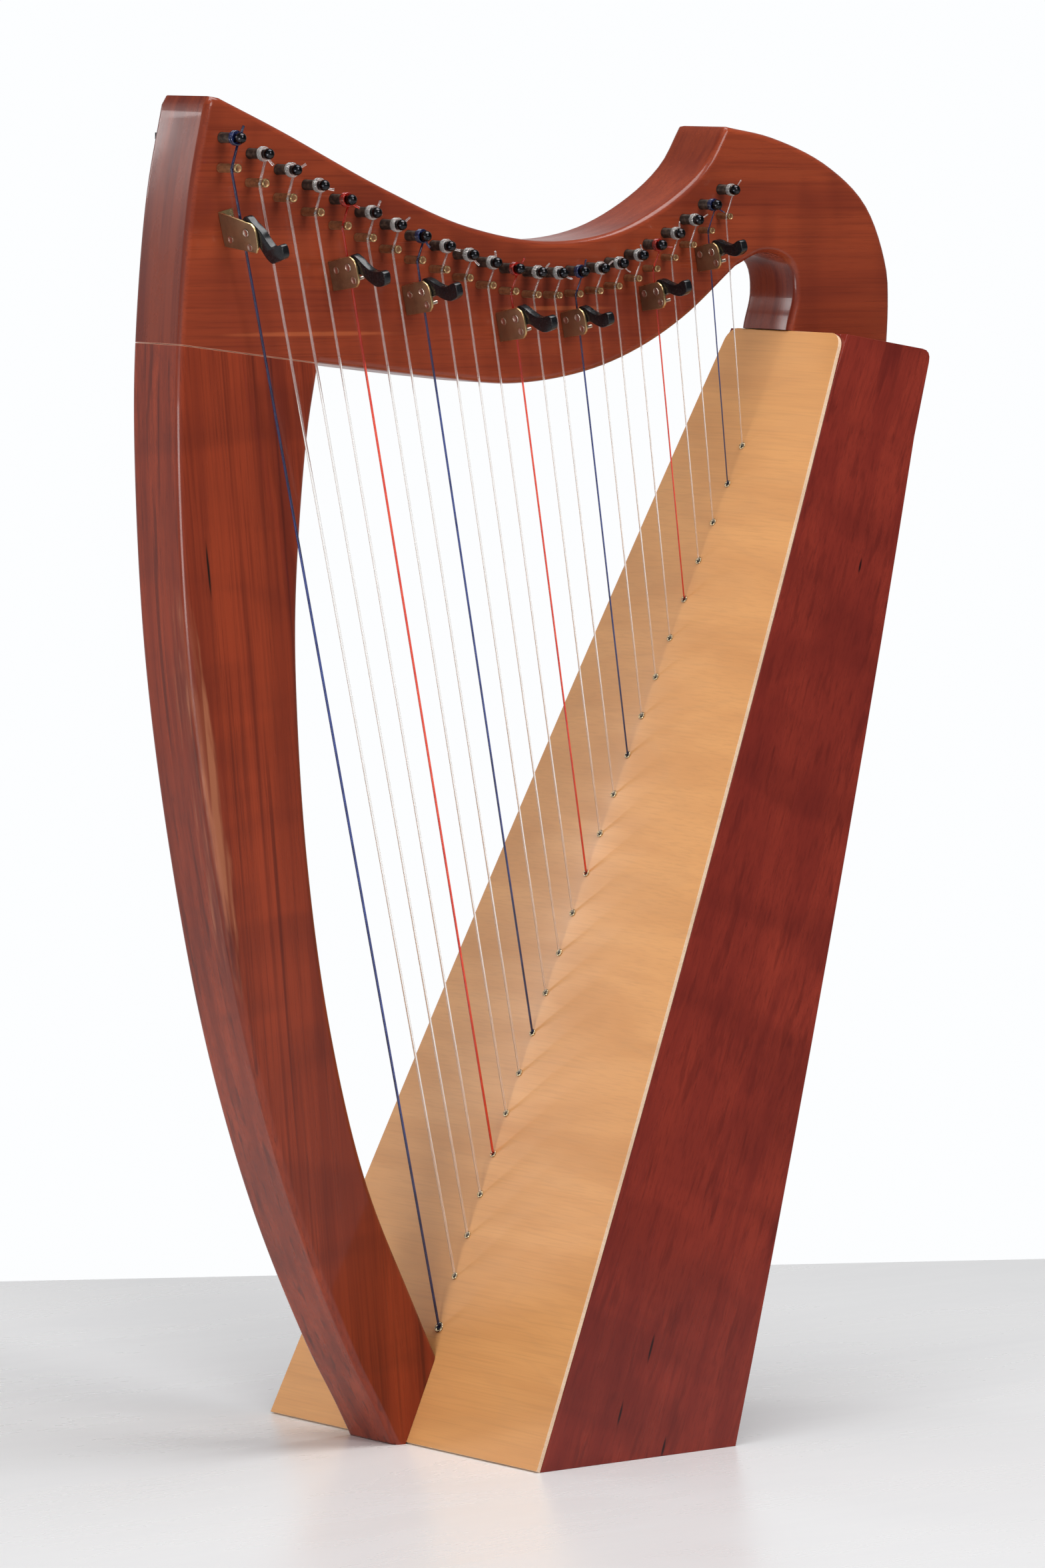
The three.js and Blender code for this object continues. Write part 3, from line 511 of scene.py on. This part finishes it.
# Directions of the soundboard: up the slope, across, and outward to the strings.
board_up = V((math.cos(BOARD_LEAN), 0, math.sin(BOARD_LEAN)))
board_out = V((-math.sin(BOARD_LEAN), 0, math.cos(BOARD_LEAN)))


def on_board(s, v, n):
    return board_up * s + V((0, v, 0)) + board_out * n


def half_width(s):
    t = min(s / BOARD_LENGTH, 1)
    return mix(BOARD_HALF_BOTTOM, BOARD_HALF_TOP, t) + 4 * SIDE_BULGE * t * (1 - t)


def belly(s, share):
    rise = 1 - ((s - BELLY_CENTRE) / BELLY_REACH) ** 2
    return BELLY * rise * (1 - abs(share) ** BELLY_SHAPE) if rise > 0 else 0


# ---------- neck and pillar ----------
FRONT_LINE = [(8, -30), (-21, 22), (-44, 60), (-89, 151), (-127, 256), (-157, 377), (-180, 512),
              (-189.9, 646), (-189.5, 713), (-182, 800), (-171, 855)]
NECK_TOP = [(-160, 859.5), (-112, 840), (-27, 803), (38, 780), (104, 770), (160, 776), (205, 795),
            (237, 819), (253, 843.5)]
SHOULDER = [(256, 844), (296, 837), (343, 819.5), (378, 793), (397, 753), (399.7, 728), (397, 670)]
ARCH = [(308, 670), (311, 711), (316.5, 734), (313.5, 751.5), (303.5, 759.5), (286.5, 761.5), (265, 753)]
NECK_UNDER = [(265, 753), (221, 720), (178, 698), (134, 685), (78, 679), (24, 683), (-79, 694)]
INNER_LINE = [(-80, 693), (-88, 646), (-95, 546), (-93, 478), (-83, 377), (-64, 274), (-34, 174),
              (6, 92), (60, -10)]
JOINT = (V((-190, 706.8)), V((-79, 693.8)))

outline = (smooth(FRONT_LINE, 9) + [V((-167.5, 860.5))] + smooth(NECK_TOP, 8) + smooth(SHOULDER, 8)
           + smooth(ARCH, 4) + smooth(NECK_UNDER, 8)[1:] + smooth(INNER_LINE, 9))


def half_plane(a, b, shift):
    """Draws everything on the left of the line from a to b, moved left by a distance."""
    along = (b - a).normalized()
    left = V((-along.y, along.x))
    reach = 1500
    corners = [a + along * x + left * y for x, y in
               ((-reach, shift), (reach, shift), (reach, reach), (-reach, reach))]
    return lambda bm: prism(bm, corners, -300, 300, 0, FRONT_VIEW)


def frame_blank(name, look, node):
    bm = bmesh.new()
    prism(bm, outline, FRAME_FACE, FRAME_FACE + FRAME_THICKNESS, EDGE_ROUND, FRONT_VIEW, steps=7)
    return make(name, bm, [look], stands_for=[node], angle=40, weigh=True)


def retouch(piece, angle=40):
    """Renews the smooth shading after cuts."""
    piece.data.shade_smooth()
    piece.data.set_sharp_from_angle(angle=math.radians(angle))


box_top_front = on_board(BOARD_LENGTH, 0, 0)
top_front = V((box_top_front.x, box_top_front.z))
top_rear = V(BOX_REAR_TOP)
top_along = (top_rear - top_front).normalized()
top_down = V((top_along.y, -top_along.x))


def box_top_slab(bm):
    corners = [top_front + top_along * a + top_down * d
               for a, d in ((-14, -GAP), (150, -GAP), (150, 100), (-14, 100))]
    prism(bm, corners, -300, 300, 0, FRONT_VIEW)


# ---------- strings and pins: where they are ----------
class String:
    """One string's places, in drawing millimetres, taken from its tuning pin's joint."""

    def __init__(self, number):
        t = (number - 1) / (STRINGS - 1)
        joint = next(j for j in frame["joints"] if j["name"] == f"tune_{number:02d}")
        pin = V(((joint["pos_m"][0] - FOOT) * 1000, 0, joint["pos_m"][2] * 1000))
        s = FIRST_STRING if number == 1 else SECOND_STRING + STRING_SPACING * (number - 2)
        self.number, self.t, self.s, self.label = number, t, s, f"{number:02d}"
        self.radius = mix(0.85, 0.4, t)
        self.out = mix(16.2, 10.4, t)
        self.bridge_radius, self.bridge_out = mix(2.9, 2.1, t), mix(19, 12.6, t)
        self.pin_out = mix(23, 18.4, t)
        rise = mix(TUNING_RISE_MID, TUNING_RISE_END, abs(2 * t - 1.1) ** 2)
        self.pin = V((pin.x, FRAME_FACE, pin.z))
        self.bridge = V((pin.x - TUNING_SHIFT, FRAME_FACE, pin.z - rise))
        self.contact = self.bridge + V((BRIDGE_BITE - self.bridge_radius - self.radius, -self.out, 0))
        self.foot = on_board(s, 0, belly(s, 0))
        self.length = (self.foot - self.contact).length
        self.down = (self.foot - self.contact).normalized()
        self.look = blue_nylon if number % 7 == 1 else red_nylon if number % 7 == 5 else clear_nylon
        # The string leaves the +X side of its tuning pin along the tangent to the bridge pin.
        reach = PIN_RADIUS + self.radius
        dx, dz = self.contact.x - self.pin.x, self.contact.z - self.pin.z
        self.leave = math.atan2(dz, dx) + math.acos((reach + GAP) / math.hypot(dx, dz))
        self.start = self.around_pin(self.leave, reach + 0.1, COIL_INNER)

    def around_pin(self, angle, distance, share):
        return V((self.pin.x + distance * math.cos(angle), FRAME_FACE - self.pin_out * share,
                  self.pin.z + distance * math.sin(angle)))


strings = [String(n + 1) for n in range(STRINGS)]

# ---------- build: neck and pillar ----------
neck = frame_blank("neck_shaped", neck_wood, "neck")
carve(neck, half_plane(*JOINT, GAP / 2), keep=True)
carve(neck, box_top_slab)


def pin_holes(bm):
    for string in strings:
        lathe(bm, [(-5, 3.55), (FRAME_THICKNESS + 5, 3.55)], string.pin, (0, 1, 0), 20)


carve(neck, pin_holes)
retouch(neck)

pillar = frame_blank("pillar_shaped", pillar_wood, "pillar")
carve(pillar, half_plane(JOINT[1], JOINT[0], GAP / 2), keep=True)
carve(pillar, half_plane(V((0, 0)), top_front, GAP), keep=True)
carve(pillar, half_plane(V((-400, 0)), V((400, 0)), 0), keep=True)
retouch(pillar)

# ---------- build: soundboard ----------
def board_half(s):
    past = s - (BOARD_LENGTH - BOARD_CORNER)
    return half_width(s) - (BOARD_CORNER - math.sqrt(BOARD_CORNER ** 2 - past ** 2) if past > 0 else 0)


def soundboard():
    stations = [BOARD_LIFT / math.sin(BOARD_LEAN)]
    stations += [12 * k for k in range(1, 64)]
    stations += [BOARD_LENGTH - BOARD_CORNER * (1 - math.sin(math.pi / 2 * k / 7)) for k in range(8)]
    shares = [k / 14 for k in range(-14, 15)]
    bm = bmesh.new()
    grids = []
    for depth in (0, -BOARD_THICKNESS):
        grids.append([[bm.verts.new(on_board(s, f * board_half(s),
                                             belly(s, f * board_half(s) / half_width(s)) + depth))
                       for f in shares] for s in stations])
    rows, columns = len(stations), len(shares)
    for grid in grids:
        for i in range(rows - 1):
            for j in range(columns - 1):
                bm.faces.new((grid[i][j], grid[i + 1][j], grid[i + 1][j + 1], grid[i][j + 1]))
    rim = [(i, 0) for i in range(rows)] + [(rows - 1, j) for j in range(1, columns)]
    rim += [(i, columns - 1) for i in range(rows - 2, -1, -1)] + [(0, j) for j in range(columns - 2, 0, -1)]
    for (a, b), (c, d) in zip(rim, rim[1:] + rim[:1]):
        face = bm.faces.new((grids[0][a][b], grids[0][c][d], grids[1][c][d], grids[1][a][b]))
        face.material_index = 1
    piece = make("soundboard_veneered", bm, [board_face, ply_edge],
                 stands_for=["soundboard"], angle=50)
    round_edges(piece, 0.5, 60)


def round_edges(piece, width, angle, steps=2):
    edge = piece.modifiers.new("edges", "BEVEL")
    edge.width, edge.segments, edge.limit_method = width * 0.001, steps, "ANGLE"
    edge.angle_limit, edge.harden_normals = math.radians(angle), True


soundboard()


# ---------- build: the rest of the soundbox ----------
def finished(node, look, width=0.9):
    """The CAD piece's own shape, with its wood and softened edges."""
    bm = bmesh.new()
    bm.from_mesh(frame["nodes"][node].data)
    bmesh.ops.remove_doubles(bm, verts=bm.verts, dist=1e-6)
    bmesh.ops.dissolve_limit(bm, angle_limit=math.radians(0.05), verts=bm.verts, edges=bm.edges)
    bm.transform(TO_FRAME.inverted())
    piece = make(node + "_finished", bm, [look], stands_for=[node], angle=30)
    round_edges(piece, width, 35, 3)


for node in ("side_left", "side_right", "back_panel", "bottom_panel", "top_block"):
    finished(node, side_wood)
for node in ("string_rib", "front_liner_left", "front_liner_right", "back_liner_left", "back_liner_right",
             "cross_brace_1", "cross_brace_2"):
    finished(node, lining_wood, 0.6)


# ---------- build: strings ----------
def string_line(string):
    """From the coil over the bridge pin's groove to the eyelet and through the soundboard."""
    groove = []
    turn = string.bridge_radius + string.radius - BRIDGE_BITE
    first = math.atan2(string.start.z - string.contact.z, string.start.x - string.contact.x)
    for k in range(5):
        angle = math.pi - mix(first - math.pi / 2, -0.12, k / 4) * 0.5
        groove.append(V((string.bridge.x + turn * math.cos(angle), string.contact.y,
                         string.bridge.z + turn * math.sin(angle))))
    inside = string.foot - board_out * 14
    return [string.start, *groove, string.foot + board_out * 0.2, inside]


for string in strings:
    bm = bmesh.new()
    tube(bm, string_line(string), string.radius, 12)
    knot = string.foot - board_out * 13.5
    lathe(bm, [(-2, 0), (-1.5, 1.6), (0, 2.3), (1.5, 1.6), (2, 0)], knot, board_out, 10)
    make("string_" + string.label, bm, [string.look], stands_for=["string_set"], angle=60)

    # The turns wound on the tuning pin, and the cut end.
    bm = bmesh.new()
    width = (COIL_OUTER - COIL_INNER) * string.pin_out
    turns = max(2, round(width / (2.05 * string.radius)))
    steps = turns * 16
    helix = [string.around_pin(string.leave + 2 * math.pi * turns * k / steps,
                               PIN_RADIUS + string.radius * 0.92,
                               mix(COIL_INNER, COIL_OUTER, k / steps)) for k in range(steps + 1)]
    tube(bm, helix, string.radius, 8)
    turn = math.radians(TAIL_TURN[string.number - 1])
    tail = [string.around_pin(turn + math.pi, 2.6, HOLE_PLACE), string.around_pin(turn, 3.4, HOLE_PLACE),
            string.around_pin(turn + 0.1, 5.8, HOLE_PLACE + 0.03),
            string.around_pin(turn + 0.16, 7.6, HOLE_PLACE + 0.08)]
    tube(bm, even_steps(curve(tail), 0.8), string.radius, 8)
    make("coil_" + string.label, bm, [string.look], body="pin_" + string.label, angle=60)


# ---------- build: tuning pins ----------
def thread_bump(look):
    """Fine machined rings round the pins, which lie along Y."""
    rings = look.add("ShaderNodeTexWave",
                     {"Vector": look.place, "Scale": 260.0, "Distortion": 0.6, "Detail": 1.0},
                     wave_type="BANDS", bands_direction="Y").outputs[1]
    look.bump(rings, 0.00008, 0.6)


thread_bump(blued_thread)
thread_bump(brass_pin)

for string in strings:
    bm = bmesh.new()
    out = string.pin_out
    ball = PIN_RADIUS * 1.06
    outer = [(-out + ball * (1 - math.cos(a)), ball * math.sin(a)) for a in
             (math.pi / 2 * k / 6 for k in range(7))]
    outer += [(-out * 0.76, PIN_RADIUS * 0.97), (-out * 0.74, PIN_RADIUS * 0.93),
              (-out * 0.5, PIN_RADIUS * 0.93),
              (-out * 0.48, PIN_RADIUS), (FRAME_THICKNESS + PIN_TAIL - 0.8, PIN_RADIUS),
              (FRAME_THICKNESS + PIN_TAIL, PIN_RADIUS - 0.8)]
    lathe(bm, outer, string.pin, (0, 1, 0), 24, slots=[0] * 9 + [1] * 4)
    half = KEY_SQUARE / 2
    square = counter_clockwise([V(p) for p in ((-half, -half), (half, -half), (half, half), (-half, half))])
    end = FRAME_FACE + FRAME_THICKNESS + PIN_TAIL
    prism(bm, square, end - 1, end + KEY_LENGTH - 0.02, 0.45,
          Matrix.Translation((string.pin.x, 0, string.pin.z)) @ FRONT_VIEW, steps=3)
    make("pin_turned_" + string.label, bm, [blued, blued_thread], body="pin_" + string.label,
         stands_for=["tuning_pin_" + string.label])

# ---------- build: bridge pins ----------
for string in strings:
    bm = bmesh.new()
    radius, out = string.bridge_radius, string.bridge_out
    half = string.radius + 0.35
    profile = [(-out + 0.5, 0), (-out + 0.5, radius * 0.5), (-out + 0.15, radius * 0.66),
               (-out, radius * 0.74),
               (-out + 0.1, radius * 0.9), (-out + 0.5, radius), (-string.out - half - 0.3, radius),
               (-string.out - half, radius - 0.45), (-string.out + half, radius - 0.45),
               (-string.out + half + 0.3, radius), (-0.3, radius), (-0.05, radius - 0.3), (-0.05, 0)]
    lathe(bm, profile, string.bridge, (0, 1, 0), 22, slots=[0, 0, 1, 1, 1, 0, 0, 0, 0, 0, 0, 0])
    make("bridge_pin_" + string.label, bm, [brass_pin, brass_edge], stands_for=["string_set"])

# ---------- build: eyelets ----------
for string in strings:
    size = 1.5 if string.number == 1 else 1.0
    rim = [(0.05, 2.45), (0.45, 2.5), (0.75, 2.2), (0.8, 1.85), (0.6, 1.5), (0, 1.3), (-2.5, 1.25),
           (-2.5, 1.5),
           (-0.1, 1.6), (0.05, 2.45)]
    bm = bmesh.new()
    centre = string.foot
    across = V((0, 1, 0))
    sides = 20
    rings = [[bm.verts.new(centre + board_out * (at * min(size, 1.2))
                           + (across * math.cos(a) + board_up * math.sin(a)) * r * size)
              for a in (2 * math.pi * k / sides for k in range(sides))] for at, r in rim[:-1]]
    for lower, upper in zip(rings, rings[1:] + rings[:1]):
        for j in range(sides):
            bm.faces.new((lower[j], lower[(j + 1) % sides], upper[(j + 1) % sides], upper[j]))
    make("eyelet_" + string.label, bm, [eyelet_metal], stands_for=["string_set"], angle=60)
    # Painted shade: a dark disc plugs each eyelet, where the real hole shows only shade.
    bm = bmesh.new()
    lathe(bm, [(-1.6, 1.3 * size), (0.08, 1.36 * size), (0.1, 0)], centre, board_out, 16)
    make("eyelet_hole_shade_" + string.label, bm, [painted_hole_shade], stands_for=["string_set"])

# ---------- build: levers ----------
# Plate outlines: first number out from the neck, second down along the string.
PLATE = [(0, 0), (22, -4), (26.5, -1), (28, 7), (27, 13), (24, 16), (0, 19.2)]
BASS_PLATE = [(0, 0), (31, 7), (34, 11), (33.5, 22), (31, 25.6), (0, 22.2)]
# Handle outline around its pivot: first number out from the neck, second up along the string.
# The cam lies inside the frame's outline, so that its smooth curve stays clear of the string.
HANDLE = [(-3.9, 1.2), (-3.2, -2.8), (0, -4.8), (4, -5), (10, -4), (16, -7), (23, -9.4), (29, -8.6),
          (32.2, -6.6), (32.8, -0.4), (30.5, 1.2), (24, 0.2), (19, 0.4), (13, 3), (7, 6.6), (1.9, 7.95),
          (-1.75, 4.7)]
BASS_HANDLE = [(-4.8, 5), (-4.6, -3), (0, -5.6), (5.1, -5.4), (9, -11), (13.5, -17), (18, -19.8),
               (24, -18), (29, -16.8), (31, -14.6), (30.8, -9), (29, -7.6), (25, -8.8), (20.5, -9.4),
               (16, -5), (12, 0.6), (5, 6.2), (1.6, 9.4), (-1.4, 9.75), (-3.85, 7.6)]

for index, (number, below, tilt) in enumerate(LEVERS):
    string = strings[number - 1]
    scale = 0.86 if number >= 15 else 1.0
    if index == 0:
        plate, handle, pivot, inner, outer = BASS_PLATE, BASS_HANDLE, (24.9, 12.7), (7.6, 17.4), (25.8, 22)
    else:
        plate, handle = ([(a * scale, b * scale) for a, b in shape] for shape in (PLATE, HANDLE))
        pivot, outer = (20 * scale, 3.2 * scale), (23 * scale, 11.4 * scale)
        inner = ((5.4 if number >= 15 else 7) * scale, 5.4 * scale)
    down = V((string.down.x, 0, string.down.z)).normalized()
    outward = V((0, -1, 0))
    side = outward.cross(down)
    start = string.contact + down * below - side * (PLATE_TO_STRING + PLATE_THICKNESS)
    start.y = FRAME_FACE - GAP
    place = Matrix((outward, down, side)).transposed().to_4x4()
    place.translation = start

    def lathe_at(bm, spot, profile, sides=20, slots=None):
        lathe(bm, profile, place @ V((*spot, 0)), side, sides, slots)

    label = string.label
    bm = bmesh.new()
    rounded = [V(plate[0])] + smooth(plate[1:-1], 1.0) + [V(plate[-1])]
    prism(bm, rounded, 0, PLATE_THICKNESS, 0.3, place, steps=2, edge_slot=1)
    height = plate[-1][1]
    prism(bm, [(0, 0.05), (FLANGE_THICKNESS, 0.05), (FLANGE_THICKNESS, height), (0, height)],
          PLATE_THICKNESS - 0.4, PLATE_THICKNESS + FLANGE_WIDTH, 0.3, place, steps=2, edge_slot=1)
    make("plate_pressed_" + label, bm, [brass_plate, brass_edge],
         stands_for=["lever_plate_" + label])
    post_end = PLATE_THICKNESS + HANDLE_WIDTH + 1.5
    bm = bmesh.new()
    for spot in (inner, outer):
        lathe_at(bm, spot, [(-0.3, 0), (-0.3, 1.6), (-0.45, 1.9), (-0.4, 2.25), (0.02, 2.35), (0.05, 1.2),
                            (post_end - 0.3, 1.2), (post_end, 0.9), (post_end, 0)])
    make("lever_stops_" + label, bm, [rivet_metal], stands_for=["lever_plate_" + label])
    for k, share in enumerate((0.27, 0.73)):
        bm = bmesh.new()
        lathe(bm, [(-0.2, 0), (-0.2, 2.1), (0.25, 2.2), (0.8, 1.5), (0.95, 0)],
              place @ V((FLANGE_THICKNESS, height * share, PLATE_THICKNESS + FLANGE_WIDTH * 0.62)),
              outward, 16)
        make(f"lever_screw_{label}_{k + 1}", bm, [rivet_metal],
             stands_for=["lever_plate_" + label])

    # The handle swings on its rivet.
    angle = math.radians(tilt)
    turned = []
    for a, b in handle:
        turned.append((pivot[0] + a * math.cos(angle) + b * math.sin(angle),
                       pivot[1] + a * math.sin(angle) - b * math.cos(angle)))
    bm = bmesh.new()
    begin = PLATE_THICKNESS + GAP
    prism(bm, smooth(turned, 1.1, closed=True), begin, begin + HANDLE_WIDTH, 0.4, place, steps=3)
    make("handle_moulded_" + label, bm, [black_plastic], body="lever_" + label,
         stands_for=["lever_handle_" + label])
    bm = bmesh.new()
    lathe_at(bm, pivot, [(-0.6, 0), (-0.6, 1.9), (-0.78, 2.2), (-0.7, 2.5), (-0.32, 2.65), (-0.3, 1.7),
                         (begin + HANDLE_WIDTH, 1.7), (begin + HANDLE_WIDTH + 0.5, 1.3),
                         (begin + HANDLE_WIDTH + 0.5, 0)])
    make("lever_rivet_" + label, bm, [rivet_metal], body="lever_" + label)

# ---------- floor, backdrop and light ----------
floor_look = Look("studio_floor", IOR=1.4)
mark = floor_look.noise(floor_look.stretched(floor_look.place, (2.2, 9, 1)), detail=6, rough=0.7, bend=0.4)
dust = floor_look.noise(floor_look.place, 46.0, 5.0, 0.7)
tone = floor_look.blend(floor_look.spread(mark, 0.35, 0.7), (0.88, 0.88, 0.88), (0.85, 0.85, 0.855))
tone = floor_look.blend(floor_look.spread(dust, 0.72, 0.8), tone, (0.42, 0.41, 0.4))
floor_look.feed("Base Color", tone)
floor_look.feed("Roughness", floor_look.spread(mark, 0.3, 0.7, 0.24, 0.34))
FLOOR_BACK = (V((-0.667, 1.064, 0)), V((1.53, 0.0, 0)))  # two points of the floor's far edge
edge_along = (FLOOR_BACK[1] - FLOOR_BACK[0]).normalized()
edge_front = V((-0.4357, -0.9, 0)).normalized()
bm = bmesh.new()
corners = [FLOOR_BACK[0] - edge_along * 3, FLOOR_BACK[1] + edge_along * 3,
           FLOOR_BACK[1] + edge_along * 3 + edge_front * 7, FLOOR_BACK[0] - edge_along * 3 + edge_front * 7]
bm.faces.new([bm.verts.new(c) for c in corners])
mesh = bpy.data.meshes.new("floor")
bm.to_mesh(mesh)
bm.free()
mesh.materials.append(floor_look.material)
floor = bpy.data.objects.new("floor", mesh)
bpy.context.scene.collection.objects.link(floor)


def softbox(name, place, aim, width, height, power, colour=(1, 1, 1)):
    light = bpy.data.lights.new(name, "AREA")
    light.shape, light.size, light.size_y = "RECTANGLE", width, height
    light.energy, light.color = power, colour
    lamp = bpy.data.objects.new(name, light)
    lamp.location = place
    lamp.rotation_euler = (V(aim) - V(place)).to_track_quat("-Z", "Y").to_euler()
    lamp.visible_camera = False
    bpy.context.scene.collection.objects.link(lamp)


softbox("key", (-0.3, -3.0, 2.3), (0, 0, 0.45), 1.4, 1.4, 44)
softbox("left", (-2.4, -0.7, 0.15), (0, 0, 0.05), 1.2, 0.8, 30)
softbox("glare", (-1.25, 1.9, 1.3), (-0.05, 0, 0.3), 0.5, 0.5, 7)
softbox("top", (0.3, -0.4, 3.0), (0, 0, 0.5), 1.8, 1.6, 62)

# The room is bright all round, but dim towards the right front and the ceiling.
world = bpy.data.worlds.new("studio")
bpy.context.scene.world = world
world.use_nodes = True
nodes, links = world.node_tree.nodes, world.node_tree.links
surround, seen = nodes["Background"], nodes.new("ShaderNodeBackground")
surround.inputs["Color"].default_value = (0.97, 0.98, 1, 1)
seen.inputs["Color"].default_value = (0.98, 0.99, 1, 1)
facing, dimmer = nodes.new("ShaderNodeVectorMath"), nodes.new("ShaderNodeMapRange")
facing.operation, facing.inputs[1].default_value = "DOT_PRODUCT", (0.63, -0.77, -0.05)
around = nodes.new("ShaderNodeTexCoord").outputs["Generated"]
links.new(around, facing.inputs[0])
dimmer.interpolation_type = "SMOOTHSTEP"
links.new(facing.outputs["Value"], dimmer.inputs["Value"])
for key, value in (("From Min", -0.1), ("From Max", 0.85), ("To Min", 0.6), ("To Max", 0.12)):
    dimmer.inputs[key].default_value = value
height, ceiling, product = (nodes.new(kind) for kind in
                            ("ShaderNodeSeparateXYZ", "ShaderNodeMapRange", "ShaderNodeMath"))
links.new(around, height.inputs[0])
ceiling.interpolation_type = "SMOOTHSTEP"
links.new(height.outputs[2], ceiling.inputs["Value"])
for key, value in (("From Min", 0.15), ("From Max", 0.6), ("To Min", 1.0), ("To Max", 0.3)):
    ceiling.inputs[key].default_value = value
product.operation = "MULTIPLY"
links.new(dimmer.outputs[0], product.inputs[0])
links.new(ceiling.outputs[0], product.inputs[1])
links.new(product.outputs[0], surround.inputs["Strength"])
chooser, path, either = (nodes.new(kind) for kind in
                         ("ShaderNodeMixShader", "ShaderNodeLightPath", "ShaderNodeMath"))
either.operation = "MAXIMUM"
links.new(path.outputs["Is Camera Ray"], either.inputs[0])
links.new(path.outputs["Is Transmission Ray"], either.inputs[1])
links.new(either.outputs[0], chooser.inputs[0])
links.new(surround.outputs[0], chooser.inputs[1])
links.new(seen.outputs[0], chooser.inputs[2])
links.new(chooser.outputs[0], nodes["World Output"].inputs["Surface"])
bpy.context.scene.view_settings.view_transform = "Standard"
